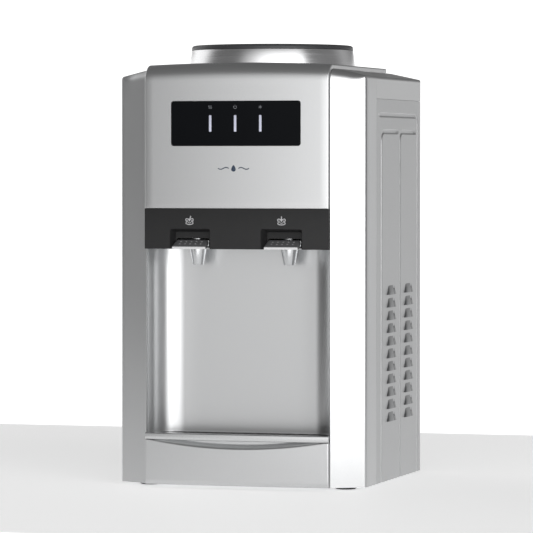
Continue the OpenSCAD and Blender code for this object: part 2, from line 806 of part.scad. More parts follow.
module relay_box()
    color(black) difference() {
        block([pot_c.x - 22, pot_c.y - pot_r - 26, 96], [pot_c.x + 22, pot_c.y - pot_r - 3, 140]);
        block([pot_c.x - 20, pot_c.y - pot_r - 24, 98], [pot_c.x + 20, pot_c.y - pot_r - 2, 138]);
    }

module discharge_pipe()
    color(copper) pipe([[discharge_at.x, discharge_at.y, stub_z], [discharge_at.x, discharge_at.y, 185],
                        [cond_x, 122, 185], [cond_x, 122, cond_z1], [cond_x, cond_y - 6, cond_z1]], pipe_r);

module suction_pipe() {
    z = coil_z0 + coil_pitch * (coil_turns - 1);
    end = coil_end(suction_at);
    color(copper) pipe([[suction_at.x, suction_at.y, stub_z], [suction_at.x, suction_at.y, z],
                        [end.x, end.y, z]], pipe_r);
}

module filter_drier()
    color(copper) {
        translate([drier_at.x, drier_at.y, 0]) rotate_extrude()
            polygon([[0, drier_z[0]], [4, drier_z[0]], [10, drier_z[0] + 12],
                     [10, drier_z[1] - 12], [3, drier_z[1]], [0, drier_z[1]]]);
        pipe([[drier_at.x - 3.7, cond_y, cond_z0], [drier_at.x, cond_y, cond_z0],
              [drier_at.x, drier_at.y, cond_z0], [drier_at.x, drier_at.y, drier_z[0] + 4]],
             cond_r + 0.4);
    }

module capillary_tube() {
    end = coil_end(drier_at);
    color(copper) pipe([[drier_at.x, drier_at.y, drier_z[1]], [drier_at.x, drier_at.y, coil_z0],
                        [end.x, end.y, coil_z0]], 1.2);
}

module condenser()
    color(black) {
        for (i = [0:condenser_runs - 1]) {
            last = i == condenser_runs - 1;
            x1 = last ? drier_at.x - 4 : cond_x;
            translate([-cond_x, cond_y, cond_z1 - i * cond_pitch]) rotate([0, 90, 0])
                cylinder(r = cond_r, h = x1 + cond_x);
            if (!last) translate([(i % 2 == 0 ? -1 : 1) * cond_x, cond_y, cond_z1 - (i + 0.5) * cond_pitch])
                rotate([90, 0, 0]) rotate_extrude(angle = 180, start = i % 2 == 0 ? 90 : -90)
                    translate([cond_pitch / 2, 0]) circle(r = cond_r, $fn = 24);
        }
        pipe([[cond_x, cond_y, cond_z1], [cond_x, cond_y - 5.9, cond_z1]], cond_r + 0.4);
        for (x = [-8:8], y = [-1, 1])
            translate([x * wire_pitch, cond_y + y * 3.1, cond_z0 - 15])
                cylinder(r = 0.9, h = cond_z1 - cond_z0 + 30, $fn = 6);
        for (x = [-1, 1], i = [1, condenser_runs - 2])
            translate([x * 102, 0, cond_z0 + i * cond_pitch])
                block([-4, rear_face, -5], [4, cond_y - 1, 5]);
    }

// ---- Water hoses ----

module tap_hose(from, s)
    pipe([from, [from.x, from.y, 275], [s * tap_x, -60, 275], [s * tap_x, -78, 275],
          [s * tap_x, -78, 296], [s * tap_x, -95.6, 296]], hose_r);

module hot_outlet_hose() color(white) tap_hose([hot_c.x, hot_c.y, hot_z1 + 18], -1);

module cold_outlet_hose() color(white) tap_hose([40, seat_y, 280], 1);

module hot_feed_hose()
    color(white) pipe([[0, seat_y, 280], [0, seat_y, 40], [hot_c.x, hot_c.y, 40],
                       [hot_c.x, hot_c.y, 50]], hose_r);

// ---- Rear fittings ----

module at_switches() for (x = switch_xs) translate([x, 0, switch_z]) children();

module switch_housings()
    color(black) at_switches() difference() {
        union() {
            block([-8.2, 118, -13.2], [8.2, rear_face + 0.5, 13.2]);
            block([-10.5, rear_face, -15.5], [10.5, rear_face + 1.6, 15.5]);
        }
        block([-6.6, 127, -11.9], [6.6, 150, 11.9]);
        translate([-8, rocker_y, 0]) rotate([0, 90, 0]) cylinder(r = 1.2 + run_fit, h = 16);
    }

module rocker()
    translate([0, rocker_y, 0]) rotate([-rocker_tilt, 0, 0]) {
        translate([-6.2, 0, 0]) rotate([90, 0, 90]) linear_extrude(12.4)
            polygon([[-3, -3], [5.5, -10.6], [6.4, -9.6], [4.2, 0], [6.4, 9.6], [5.5, 10.6], [-3, 3]]);
        translate([-7.6, 0, 0]) rotate([0, 90, 0]) cylinder(r = 1.2, h = 15.2);
    }

module hot_switch_rocker() color([0.75, 0.1, 0.08]) translate([switch_xs[0], 0, switch_z]) rocker();

module cold_switch_rocker() color([0.1, 0.5, 0.2]) translate([switch_xs[1], 0, switch_z]) rocker();

module cold_thermostat()
    color(steel) difference() {
        union() {
            block([knob_at.x - 14, 108, knob_at.y - 18], [knob_at.x + 14, 126, knob_at.y + 18]);
            translate([knob_at.x, rear_y - 1, knob_at.y]) rotate([90, 0, 0]) cylinder(r = 6, h = 14);
        }
        translate([knob_at.x, rear_y, knob_at.y]) rotate([90, 0, 0]) cylinder(r = 3 + run_fit, h = 20);
    }

module thermostat_knob()
    color(black) translate([knob_at.x, 0, knob_at.y]) difference() {
        union() {
            translate([0, rear_face + 9, 0]) rotate([90, 0, 0]) cylinder(r = 11, h = 8.5);
            translate([0, rear_face + 2, 0]) rotate([90, 0, 0]) cylinder(r = 3, h = 18);
            block([-2, rear_face + 6, -10], [2, rear_face + 12, 10]);
        }
        for (a = [0:45:315]) rotate([0, a, 0]) translate([12.2, rear_face + 10, 0]) rotate([90, 0, 0])
            cylinder(r = 2.2, h = 12, $fn = 24);
    }

module cord_gland()
    color(black) translate([gland_at.x, 0, gland_at.y]) difference() {
        union() {
            translate([0, rear_face + 3, 0]) rotate([90, 0, 0]) cylinder(r = 11, h = 3);
            translate([0, rear_face + 0.5, 0]) rotate([90, 0, 0]) cylinder(r = 7.9, h = 6);
        }
        translate([0, rear_face + 5, 0]) rotate([90, 0, 0]) cylinder(r = 3.75, h = 20);
    }

module drain_fitting()
    color(white) translate([drain_at.x, 0, drain_at.y]) difference() {
        union() {
            translate([0, rear_face + 8, 0]) rotate([90, 0, 0]) cylinder(r = 7.5, h = 27);
            translate([0, rear_y, 0]) rotate([90, 0, 0]) cylinder(r = 12, h = 3);
        }
        translate([0, rear_face + 9, 0]) rotate([90, 0, 0]) cylinder(r = 4, h = 40);
    }

module drain_cap()
    color(black) translate([drain_at.x, 0, drain_at.y]) difference() {
        translate([0, rear_face + 11, 0]) rotate([90, 0, 0]) cylinder(r = 11, h = 10.6);
        translate([0, rear_face + 8.4, 0]) rotate([90, 0, 0]) cylinder(r = 7.8, h = 12);
        for (a = [0:30:330]) rotate([0, a, 0]) translate([11.6, rear_face + 12, 0]) rotate([90, 0, 0])
            cylinder(r = 1.1, h = 14, $fn = 16);
    }

module rear_screws()
    color(steel) for (x = [-1, 1], z = screw_zs) translate([x * screw_x, 0, z]) {
        translate([0, rear_face, 0]) rotate([90, 0, 0]) cylinder(r = 1.45, h = 6);
        difference() {
            translate([0, rear_face + 2, 0]) rotate([90, 0, 0]) cylinder(r = 3.4, h = 2);
            block([-0.5, rear_face + 1.2, -2.4], [0.5, rear_face + 3, 2.4]);
            block([-2.4, rear_face + 1.2, -0.5], [2.4, rear_face + 3, 0.5]);
        }
    }

base_pan();
rubber_feet();
left_column();
right_column();
left_side_panel();
right_side_panel();
rear_panel();
top_cover();
upper_fascia();
display_window();
indicator_bars();
display_board();
tap_strip();
alcove_liner();
lower_fascia();
drip_tray();
drip_grille();
hot_tap_body();
cold_tap_body();
hot_tap_lever();
cold_tap_lever();
hot_tap_plunger();
cold_tap_plunger();
tap_lever_pins();
bottle_collar();
bottle_seat();
bottle_probe();
cold_tank();
cold_tank_lid();
tank_baffle();
evaporator_coil();
front_insulation();
rear_insulation();
tank_shelf();
hot_tank();
heater_band();
hot_tank_jacket();
hot_tank_thermostats();
hot_tank_stand();
compressor();
compressor_grommets();
compressor_bolts();
relay_box();
discharge_pipe();
suction_pipe();
filter_drier();
capillary_tube();
condenser();
hot_outlet_hose();
cold_outlet_hose();
hot_feed_hose();
switch_housings();
hot_switch_rocker();
cold_switch_rocker();
cold_thermostat();
thermostat_knob();
cord_gland();
drain_fitting();
drain_cap();
rear_screws();
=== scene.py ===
import json
from math import atan2, cos, hypot, pi, radians, sin

import bmesh
import bpy
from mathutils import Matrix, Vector


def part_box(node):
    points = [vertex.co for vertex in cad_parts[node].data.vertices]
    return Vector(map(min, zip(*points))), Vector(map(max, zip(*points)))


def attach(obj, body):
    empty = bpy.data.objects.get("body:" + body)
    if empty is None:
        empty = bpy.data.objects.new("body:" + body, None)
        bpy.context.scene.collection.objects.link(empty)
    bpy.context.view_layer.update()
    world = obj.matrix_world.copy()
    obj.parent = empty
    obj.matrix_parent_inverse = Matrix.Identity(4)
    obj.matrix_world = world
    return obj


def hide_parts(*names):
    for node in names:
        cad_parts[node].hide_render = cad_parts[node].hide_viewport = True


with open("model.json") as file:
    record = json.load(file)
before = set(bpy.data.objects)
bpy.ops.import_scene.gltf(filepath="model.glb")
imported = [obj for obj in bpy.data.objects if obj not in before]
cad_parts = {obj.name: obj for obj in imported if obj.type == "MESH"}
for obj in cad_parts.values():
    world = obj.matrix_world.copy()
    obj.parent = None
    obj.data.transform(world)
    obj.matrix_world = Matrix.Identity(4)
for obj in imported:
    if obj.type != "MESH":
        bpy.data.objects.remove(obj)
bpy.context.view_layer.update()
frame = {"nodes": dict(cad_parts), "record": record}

MM = 0.001
SIDES = (-1, 1)


# ---- Camera ----

AZIMUTH = radians(16.75)             # the camera stands to the right of the front
PITCH = radians(1.65)                # and looks slightly down
CAMERA_FAR = 4.382                   # from the front face, along the view
CAMERA_LEFT = 0.0361                 # the front's middle is this far left of the view axis
CAMERA_HEIGHT = 0.391
LENS = 249.9
SENSOR = 36.0


def make_camera():
    front = Vector((0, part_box("left_column")[0].y - 6 * MM, CAMERA_HEIGHT))
    away = Vector((sin(AZIMUTH), -cos(AZIMUTH), 0))
    right = Vector((cos(AZIMUTH), sin(AZIMUTH), 0))
    data = bpy.data.cameras.new("camera")
    data.lens = LENS
    data.sensor_width = SENSOR
    data.clip_end = 30
    camera = bpy.data.objects.new("camera", data)
    camera.location = front + CAMERA_FAR * away + CAMERA_LEFT * right
    camera.rotation_euler = (pi / 2 - PITCH, 0, AZIMUTH)
    bpy.context.scene.collection.objects.link(camera)
    bpy.context.scene.camera = camera


# ---- Materials ----

class Nodes:
    """A short way to add shader nodes and link them."""

    def __init__(self, name):
        self.material = bpy.data.materials.new(name)
        self.material.use_nodes = True
        self.tree = self.material.node_tree
        self.shader = self.tree.nodes["Principled BSDF"]
        coords = self.tree.nodes.new("ShaderNodeTexCoord")
        self.place = coords.outputs["Object"]

    def add(self, kind, inputs=None, **settings):
        node = self.tree.nodes.new(kind)
        for key, value in settings.items():
            setattr(node, key, value)
        for key, value in (inputs or {}).items():
            self.give(node, key, value)
        return node

    def give(self, node, key, value):
        if isinstance(value, bpy.types.NodeSocket):
            self.tree.links.new(value, node.inputs[key])
        else:
            node.inputs[key].default_value = value

    def set(self, **values):
        for key, value in values.items():
            self.give(self.shader, key.replace("_", " "), value)

    def noise(self, scale, detail=2.0, stretch=None):
        place = self.place
        if stretch:
            place = self.add("ShaderNodeMapping", {"Vector": place, "Scale": stretch}).outputs[0]
        return self.add("ShaderNodeTexNoise",
                        {"Vector": place, "Scale": scale, "Detail": detail}).outputs["Fac"]

    def ramp(self, fac, low, high, start=0.3, end=0.7):
        node = self.add("ShaderNodeMapRange", {"Value": fac, "From Min": start, "From Max": end,
                                               "To Min": low, "To Max": high})
        return node.outputs[0]

    def tint(self, fac, low, high):
        return self.add("ShaderNodeMix", {0: fac, 6: (*low, 1), 7: (*high, 1)},
                        data_type="RGBA").outputs[2]

    def bump(self, height, strength, distance):
        node = self.add("ShaderNodeBump", {"Height": height, "Strength": strength,
                                           "Distance": distance})
        self.give(self.shader, "Normal", node.outputs[0])


def shade(colour, factor):
    return tuple(min(1, c * factor) for c in colour)


def painted(name, colour, metallic=0.92, rough=0.32, peel=0.05):
    """Metallic silver paint: fine flakes, a faint orange peel and slow changes of gloss."""
    m = Nodes(name)
    flakes = m.ramp(m.noise(4200, 1), 0, 1, 0.35, 0.65)
    m.set(Base_Color=m.tint(flakes, shade(colour, 0.95), shade(colour, 1.05)),
          Metallic=metallic, Roughness=m.ramp(m.noise(6, 1), rough - 0.02, rough + 0.02, 0, 1))
    m.bump(m.noise(900, 3), peel, 0.0002)
    return m.material


def moulded(name, colour, rough=0.5, grain=1500, depth=0.12):
    """Moulded plastic with a fine spark-eroded grain."""
    m = Nodes(name)
    slow = m.noise(22)
    m.set(Base_Color=m.tint(slow, shade(colour, 0.92), shade(colour, 1.08)),
          Roughness=m.ramp(m.noise(60), rough - 0.05, rough + 0.05))
    m.set(Specular_IOR_Level=0.35)
    m.bump(m.noise(grain, 2), depth, 0.0003)
    return m.material


def glossy(name, colour, rough=0.06, specular=0.5):
    """Gloss moulding with a trace of haze and faint dust."""
    m = Nodes(name)
    m.set(Base_Color=m.tint(m.noise(40), shade(colour, 0.9), shade(colour, 1.1)),
          Roughness=m.ramp(m.noise(30, 4), rough, rough + 0.05))
    m.set(Specular_IOR_Level=specular)
    return m.material


def metal(name, colour, rough=0.3, stretch=(1, 1, 1), scale=60, depth=0.05, spread=0.08):
    """Bare metal whose drawn or brushed lines run along the axis with the small stretch."""
    m = Nodes(name)
    lines = m.noise(scale, 3, stretch)
    m.set(Base_Color=m.tint(lines, shade(colour, 0.9), shade(colour, 1.06)), Metallic=1.0,
          Roughness=m.ramp(lines, rough - spread / 2, rough + spread / 2))
    m.bump(lines, depth, 0.0002)
    return m.material


def rubbery(name, colour, rough=0.75):
    m = Nodes(name)
    m.set(Base_Color=m.tint(m.noise(80), shade(colour, 0.85), shade(colour, 1.2)),
          Roughness=m.ramp(m.noise(120), rough - 0.06, rough + 0.06))
    m.bump(m.noise(700, 3), 0.2, 0.0004)
    return m.material


def lit_bar(name, colour, strength):
    """A frosted light pipe with a weak light behind it."""
    m = Nodes(name)
    soft = m.ramp(m.noise(200), 0.9, 1.05)
    m.set(Base_Color=m.tint(soft, shade(colour, 0.9), colour), Roughness=0.3)
    m.set(Emission_Color=(*colour, 1), Emission_Strength=strength)
    return m.material


def make_materials():
    around = (0.08, 0.08, 6)
    made = {
        "silver": painted("silver_paint", (0.60, 0.605, 0.61)),
        "silver_front": painted("silver_paint_front", (0.62, 0.625, 0.63)),
        # painted shade: the side panels get a darker copy of the body silver, standing in for the shade on
        # the sides
        "silver_side": painted("silver_paint_side_painted_shade", (0.54, 0.545, 0.55), 0.85, 0.36),
        # painted shade: the louvre hoods get a much darker copy of the side silver, standing in for the
        # shading of their form
        "louvre": painted("silver_louvre_painted_shade", (0.25, 0.255, 0.26), 0.9, 0.3),
        "alcove": painted("silver_paint_alcove", (0.60, 0.605, 0.61), 0.95, 0.3, 0.02),
        "lip_silver": painted("silver_lip", (0.66, 0.665, 0.67), 1.0, 0.2),
        "strip": moulded("charcoal_plastic", (0.013, 0.013, 0.0135), 0.5),
        "lip": moulded("charcoal_lip", (0.05, 0.051, 0.054), 0.38, depth=0.05),
        "lever": moulded("lever_plastic", (0.12, 0.12, 0.124), 0.36, depth=0.1),
        "window": glossy("window_black", (0.0035, 0.004, 0.005), 0.1, 0.05),
        "bars": lit_bar("indicator_light", (0.42, 0.43, 0.52), 0.25),
        "marks": moulded("printed_marks", (0.16, 0.165, 0.18), 0.5, depth=0.0),
        "icons": moulded("printed_icons", (0.42, 0.42, 0.43), 0.5, depth=0.0),
        "emblem": moulded("printed_emblem", (0.03, 0.045, 0.075), 0.4, depth=0.0),
        "collar": metal("brushed_collar", (0.86, 0.86, 0.87), 0.24, around, 120, 0.05),
        "chrome": metal("satin_chrome", (0.62, 0.63, 0.64), 0.2, (1, 1, 1), 30, 0.0, 0.04),
        "zinc": metal("zinc_sheet", (0.55, 0.56, 0.57), 0.42, (1, 1, 1), 25, 0.03, 0.14),
        "stainless": metal("stainless_tank", (0.6, 0.61, 0.62), 0.3, (1, 1, 6), 60),
        "copper": metal("copper_tube", (0.62, 0.32, 0.2), 0.3, (1, 1, 1), 40),
        "brass": metal("heater_brass", (0.55, 0.43, 0.22), 0.4, (1, 1, 1), 40),
        "hardware": metal("zinc_hardware", (0.62, 0.62, 0.63), 0.34, (1, 1, 1), 60),
        "enamel": painted("black_enamel", (0.02, 0.02, 0.022), 0.0, 0.4),
        "black": moulded("black_plastic", (0.02, 0.02, 0.021), 0.45),
        "red": glossy("red_rocker", (0.45, 0.015, 0.012), 0.15),
        "green": glossy("green_rocker", (0.015, 0.22, 0.05), 0.15),
        "white": moulded("white_plastic", (0.72, 0.72, 0.70), 0.4, depth=0.04),
        "silicone": rubbery("white_silicone", (0.72, 0.72, 0.68), 0.45),
        "rubber": rubbery("black_rubber", (0.02, 0.02, 0.02)),
        "foam": rubbery("insulation_foam", (0.7, 0.62, 0.42), 0.85),
        "board": moulded("circuit_board", (0.02, 0.13, 0.05), 0.35, 400, 0.05),
    }
    return made


MATERIALS = make_materials()

SLOT_LOOK = {
    "silver_panel": "silver", "light_silver_panel": "silver_front", "galvanised_steel": "zinc",
    "black_rubber": "rubber", "gloss_black": "window", "light_pipe": "bars",
    "circuit_board": "board", "charcoal_plastic": "strip", "chrome_tap": "chrome",
    "steel_hardware": "hardware", "brushed_steel_collar": "collar", "stainless_tank": "stainless",
    "white_plastic": "white", "white_silicone": "silicone", "copper_tube": "copper",
    "insulation_foam": "foam", "heater_brass": "brass", "black_enamel": "enamel",
    "black_plastic": "black", "red_plastic": "red", "green_plastic": "green",
}


def dress_cad_nodes():
    for row in frame["record"]["subparts"]:
        mesh = frame["nodes"][row["node"]].data
        mesh.materials.clear()
        mesh.materials.append(MATERIALS[SLOT_LOOK[row["material_slot"]]])


# ---- Mesh helpers ----

BODY_OF = {node: body for body, nodes in frame["record"]["behaviour"]["bodies"].items()
           for node in nodes}


def smooth_by_angle(mesh, angle=32):
    mesh.shade_smooth()
    work = bmesh.new()
    work.from_mesh(mesh)
    for edge in work.edges:
        if len(edge.link_faces) == 2 and edge.calc_face_angle(0) > radians(angle):
            edge.smooth = False
    work.to_mesh(mesh)
    work.free()


def tidy_mesh(mesh, merge=0.02 * MM):
    work = bmesh.new()
    work.from_mesh(mesh)
    bmesh.ops.remove_doubles(work, verts=work.verts, dist=merge)
    bmesh.ops.dissolve_degenerate(work, edges=work.edges, dist=merge / 4)
    bmesh.ops.recalc_face_normals(work, faces=work.faces)
    work.to_mesh(mesh)
    work.free()


def piece(name, verts, faces, look, node, stands_for=True, angle=32):
    """A mesh that takes its body from a CAD node, and may stand for it."""
    mesh = bpy.data.meshes.new(name)
    mesh.from_pydata([tuple(v) for v in verts], [], faces)
    tidy_mesh(mesh)
    smooth_by_angle(mesh, angle)
    mesh.materials.append(MATERIALS[look])
    obj = bpy.data.objects.new(name, mesh)
    bpy.context.scene.collection.objects.link(obj)
    settle(obj, node, stands_for)
    return obj


def settle(obj, node, stands_for=True):
    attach(obj, BODY_OF[node])
    if stands_for:
        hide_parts(node)


def apply_modifier(obj, kind, **settings):
    modifier = obj.modifiers.new(kind.lower(), kind)
    for key, value in settings.items():
        setattr(modifier, key, value)
    bpy.context.view_layer.update()
    graph = bpy.context.evaluated_depsgraph_get()
    mesh = bpy.data.meshes.new_from_object(obj.evaluated_get(graph))
    obj.modifiers.clear()
    old = obj.data
    obj.data = mesh
    bpy.data.meshes.remove(old)


def thicken(obj, thickness, angle=32):
    """Gives a sheet its thickness on the inner side."""
    apply_modifier(obj, "SOLIDIFY", thickness=thickness, offset=-1)
    smooth_by_angle(obj.data, angle)


def cut(obj, verts, faces, angle=32):
    """Takes a closed shape out of a piece."""
    mesh = bpy.data.meshes.new("cutter")
    mesh.from_pydata([tuple(v) for v in verts], [], faces)
    tidy_mesh(mesh)
    cutter = bpy.data.objects.new("cutter", mesh)
    bpy.context.scene.collection.objects.link(cutter)
    apply_modifier(obj, "BOOLEAN", operation="DIFFERENCE", object=cutter, solver="EXACT")
    bpy.data.objects.remove(cutter)
    bpy.data.meshes.remove(mesh)
    smooth_by_angle(obj.data, angle)


def grid_faces(rows, columns, closed_rows=False, closed_columns=False):
    faces = []
    for i in range(rows if closed_rows else rows - 1):
        for j in range(columns if closed_columns else columns - 1):
            a, b = i * columns + j, i * columns + (j + 1) % columns
            c, d = (i + 1) % rows * columns + (j + 1) % columns, (i + 1) % rows * columns + j
            faces.append((a, b, c, d))
    return faces


def lathe(profile, centre, turns=96):
    """Turns a closed outline of (radius, height) round the vertical axis through centre."""
    verts = []
    for r, z in profile:
        for k in range(turns):
            a = 2 * pi * k / turns
            verts.append((centre.x + r * cos(a), centre.y + r * sin(a), z))
    return verts, grid_faces(len(profile), turns, closed_rows=True, closed_columns=True)


def arc(cx, cy, r, start, end, steps=6):
    return [(cx + r * cos(radians(start + (end - start) * k / steps)),
             cy + r * sin(radians(start + (end - start) * k / steps))) for k in range(steps + 1)]


def slab(outline, place, low, high, edge=0.4 * MM):
    """A plate with eased edges. outline is a list of 2D points, place(u, v, w) puts them in space,
    and w runs from low to high."""
    n = len(outline)
    cu = sum(p[0] for p in outline) / n
    cv = sum(p[1] for p in outline) / n
    levels = [(low, edge), (low + 0.3 * edge, 0.3 * edge), (low + edge, 0),
              (high - edge, 0), (high - 0.3 * edge, 0.3 * edge), (high, edge)]
    verts = []
    for w, inset in levels:
        for k, (u, v) in enumerate(outline):
            before, after = outline[k - 1], outline[(k + 1) % n]
            du, dv = after[0] - before[0], after[1] - before[1]
            size = hypot(du, dv) or 1
            nu, nv = -dv / size, du / size
            if nu * (cu - u) + nv * (cv - v) < 0:
                nu, nv = -nu, -nv
            verts.append(place(u + nu * inset, v + nv * inset, w))
    faces = grid_faces(len(levels), n, closed_columns=True)
    faces.append(tuple(range(n)))
    faces.append(tuple(range((len(levels) - 1) * n, len(levels) * n)))
    return verts, faces


def round_rect(width, height, r, steps=5, cx=0.0, cy=0.0):
    w, h = width / 2 - r, height / 2 - r
    points = []
    for sx, sy, start in ((1, 1, 0), (-1, 1, 90), (-1, -1, 180), (1, -1, 270)):
        points += arc(cx + sx * w, cy + sy * h, r, start, start + 90, steps)
    return points


def join(parts):
    """Several (verts, faces) as one."""
    verts, faces = [], []
    for v, f in parts:
        base = len(verts)
        verts += list(v)
        faces += [tuple(i + base for i in face) for face in f]
    return verts, faces


def lines(low, high, coarse, fine_spots):
    """Grid lines from low to high: coarse steps, and finer ones near each (centre, half, step)."""
    values = {round(low, 7), round(high, 7)}
    count = int((high - low) / coarse)
    values |= {round(low + (high - low) * k / count, 7) for k in range(count + 1)}
    for centre, half, step in fine_spots:
        n = int(2 * half / step)
        values |= {round(centre - half + k * step, 7) for k in range(n + 1)}
    ordered = [v for v in sorted(values) if low - 1e-5 <= v <= high + 1e-5]
    kept = [ordered[0]]
    for v in ordered[1:]:
        if v - kept[-1] > 0.25 * MM:
            kept.append(v)
    return kept


# ---- The crowned front band ----

BAND_LOW, BAND_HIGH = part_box("upper_fascia")
BAND_X = BAND_HIGH.x
CROWN = 3.4 * MM
BAND_Y = BAND_LOW.y + CROWN          # front face at the band's edges
BAND_TOP = BAND_HIGH.z
BAND_BEND = 20 * MM
BAND_STEP = 5.2 * MM


def crown(x):
    """How far the front stands forward of its edges at x."""
    return CROWN * (1 - (x / BAND_X) ** 2)


def front_place(x, z, depth):
    return (x, BAND_Y - crown(x) + depth, z)


def band_section(half, edge=1.6 * MM, step=BAND_STEP):
    """Points across the band as (x, depth), with rounded edges and a short side wall."""
    side = [(half, step)] + [(half, edge + (step - edge) * 0.5)]
    turn = [(half - edge + edge * cos(a), edge - edge * sin(a))
            for a in (pi / 2 * k / 5 for k in range(6))]
    right = side + turn
    flat = [(half - edge) * (1 - 2 * k / 24) for k in range(1, 24)]
    left = [(-x, d) for x, d in reversed(right)]
    return [(x, d) for x, d in right] + [(x, 0) for x in flat] + left


def make_upper_fascia():
    z0 = BAND_LOW.z
    edge = 1.0 * MM
    stations = [((BAND_Y, z0), (-1, 0), 2.4 * MM)]
    for k in range(5):
        a = pi / 2 * k / 4
        stations.append(((BAND_Y, z0 + edge - edge * cos(a)), (-1, 0), edge * (1 - sin(a))))
    for k in range(1, 16):
        z = z0 + edge + (BAND_TOP - BAND_BEND - z0 - edge) * k / 16
        stations.append(((BAND_Y, z), (-1, 0), 0))
    cy, cz = BAND_Y + BAND_BEND, BAND_TOP - BAND_BEND
    for k in range(17):
        a = pi / 2 * k / 16
        normal = (-cos(a), sin(a))
        stations.append(((cy + BAND_BEND * normal[0], cz + BAND_BEND * normal[1]), normal, 0))
    back = BAND_HIGH.y
    for k in range(1, 25):
        stations.append(((cy + (back - 1 * MM - cy) * k / 24, BAND_TOP), (0, 1), 0))
    stations.append(((back - 0.3 * MM, BAND_TOP), (0, 1), 0.3 * MM))
    stations.append(((back, BAND_TOP), (0, 1), 1.0 * MM))
    stations.append(((back, BAND_TOP), (0, 1), 2.4 * MM))
    section = band_section(BAND_X)
    crown_top = 0.7
    verts = []
    for (y, z), (ny, nz), extra in stations:
        fade = max(0.0, min(1.0, (BAND_Y + 50 * MM - y) / (30 * MM)))
        for x, depth in section:
            d = max(depth, extra) if depth > extra else extra + depth * 0.2
            out = crown(x) * (-ny + max(nz, 0) * crown_top * fade) - d
            verts.append((x, y + ny * out, z + nz * out))
    obj = piece("upper_fascia_shell", verts, grid_faces(len(stations), len(section)),
                "silver_front", "upper_fascia")
    thicken(obj, 2.2 * MM)
    outline = round_rect(160.6 * MM, 53.6 * MM, 3.2 * MM, cy=WINDOW_Z)
    cut(obj, *slab(outline, lambda u, v, w: (u, w, v), BAND_Y - 20 * MM, BAND_Y + 20 * MM, 0.0))
    seat = seat_centre()
    hole = [(1 * MM, BAND_TOP - 20 * MM), (96 * MM, BAND_TOP - 20 * MM),
            (96 * MM, BAND_TOP + 20 * MM), (1 * MM, BAND_TOP + 20 * MM)]
    cut(obj, *lathe(hole, seat))


def seat_centre():
    low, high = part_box("bottle_collar")
    return Vector(((low.x + high.x) / 2, (low.y + high.y) / 2, 0))


# ---- Display ----

WINDOW_Z = 434.2 * MM
BAR_PITCH = 31 * MM


def make_display():
    outline = round_rect(160 * MM, 53 * MM, 3 * MM, 6, cy=WINDOW_Z)
    dense = []
    for k, p in enumerate(outline):
        q = outline[(k + 1) % len(outline)]
        pieces = 16 if abs(p[0] - q[0]) > 50 * MM else 1
        dense += [(p[0] + (q[0] - p[0]) * j / pieces, p[1] + (q[1] - p[1]) * j / pieces)
                  for j in range(pieces)]
    rings = [(0.5 * MM, 3.5 * MM), (0.15 * MM, 0.3 * MM), (0.6 * MM, -0.1 * MM)]
    verts = []
    for inset, depth in rings:
        scale_x, scale_z = 1 - inset / (80 * MM), 1 - inset / (26.5 * MM)
        for x, z in dense:
            verts.append(front_place(x * scale_x, WINDOW_Z + (z - WINDOW_Z) * scale_z, depth))
    faces = grid_faces(len(rings), len(dense), closed_columns=True)
    top = len(verts) - len(dense)
    rows = bridge_rows(dense, top)
    piece("display_window_pane", verts, faces + rows, "window", "display_window")
    bar = round_rect(3.0 * MM, 19.5 * MM, 0.5 * MM, 3)
    parts = []
    for k in (-1, 0, 1):
        parts.append(slab(bar, lambda u, v, w, k=k: front_place(k * BAR_PITCH + u, WINDOW_Z + v, w),
                          -0.35 * MM, 3 * MM, 0.25 * MM))
    piece("indicator_light_bars", *join(parts), "bars", "indicator_bars")
    make_display_marks()


def bridge_rows(outline, base):
    """Faces that close a wide outline by joining points of its upper and lower runs."""
    n = len(outline)
    upper = sorted((k for k in range(n) if outline[k][1] > WINDOW_Z), key=lambda k: outline[k][0])
    lower = sorted((k for k in range(n) if outline[k][1] <= WINDOW_Z), key=lambda k: outline[k][0])
    faces = []
    for k in range(len(upper) - 1):
        faces.append((base + lower[k], base + lower[k + 1], base + upper[k + 1], base + upper[k]))
    return faces


def ribbon(points, width, place, low=-0.25 * MM, high=0.15 * MM, closed=False):
    """A thin raised line through 2D points, as a closed strip."""
    n = len(points)
    verts = []
    for k, (u, v) in enumerate(points):
        a = points[k - 1] if (k > 0 or closed) else points[k]
        b = points[(k + 1) % n] if (k < n - 1 or closed) else points[k]
        du, dv = b[0] - a[0], b[1] - a[1]
        size = hypot(du, dv) or 1
        nu, nv = -dv / size * width / 2, du / size * width / 2
        for side, w in ((1, low), (-1, low), (-1, high), (1, high)):
            verts.append(place(u + side * nu, v + side * nv, w))
    faces = grid_faces(n, 4, closed_rows=closed, closed_columns=True)
    if not closed:
        faces.append((0, 1, 2, 3))
        faces.append(tuple(range(4 * n - 4, 4 * n)))
    return verts, faces


def make_display_marks():
    """Small generic signs over the bars: heat waves, a power sign and a snowflake."""
    z = WINDOW_Z + 19.3 * MM
    thin = 0.45 * MM

    def at(x0):
        return lambda u, v, w: front_place(x0 + u, z + v, w - 0.1 * MM)

    parts = []
    for k in (-1, 0, 1):
        wave = [(k * 1.5 * MM + 0.5 * MM * sin(j * pi / 4), (j - 4) * 0.5 * MM) for j in range(9)]
        parts.append(ribbon(wave, thin, at(-BAR_PITCH)))
    ring = arc(0, 0, 1.9 * MM, 125, 415, 16)
    parts.append(ribbon(ring, thin, at(0)))
    parts.append(ribbon([(0, 0.2 * MM), (0, 2.4 * MM)], thin, at(0)))
    for k in range(3):
        a = pi / 2 + k * pi / 3
        arm = [(-2.2 * MM * cos(a), -2.2 * MM * sin(a)), (2.2 * MM * cos(a), 2.2 * MM * sin(a))]
        parts.append(ribbon(arm, thin, at(BAR_PITCH)))
    piece("display_marks", *join(parts), "marks", "display_window", False)


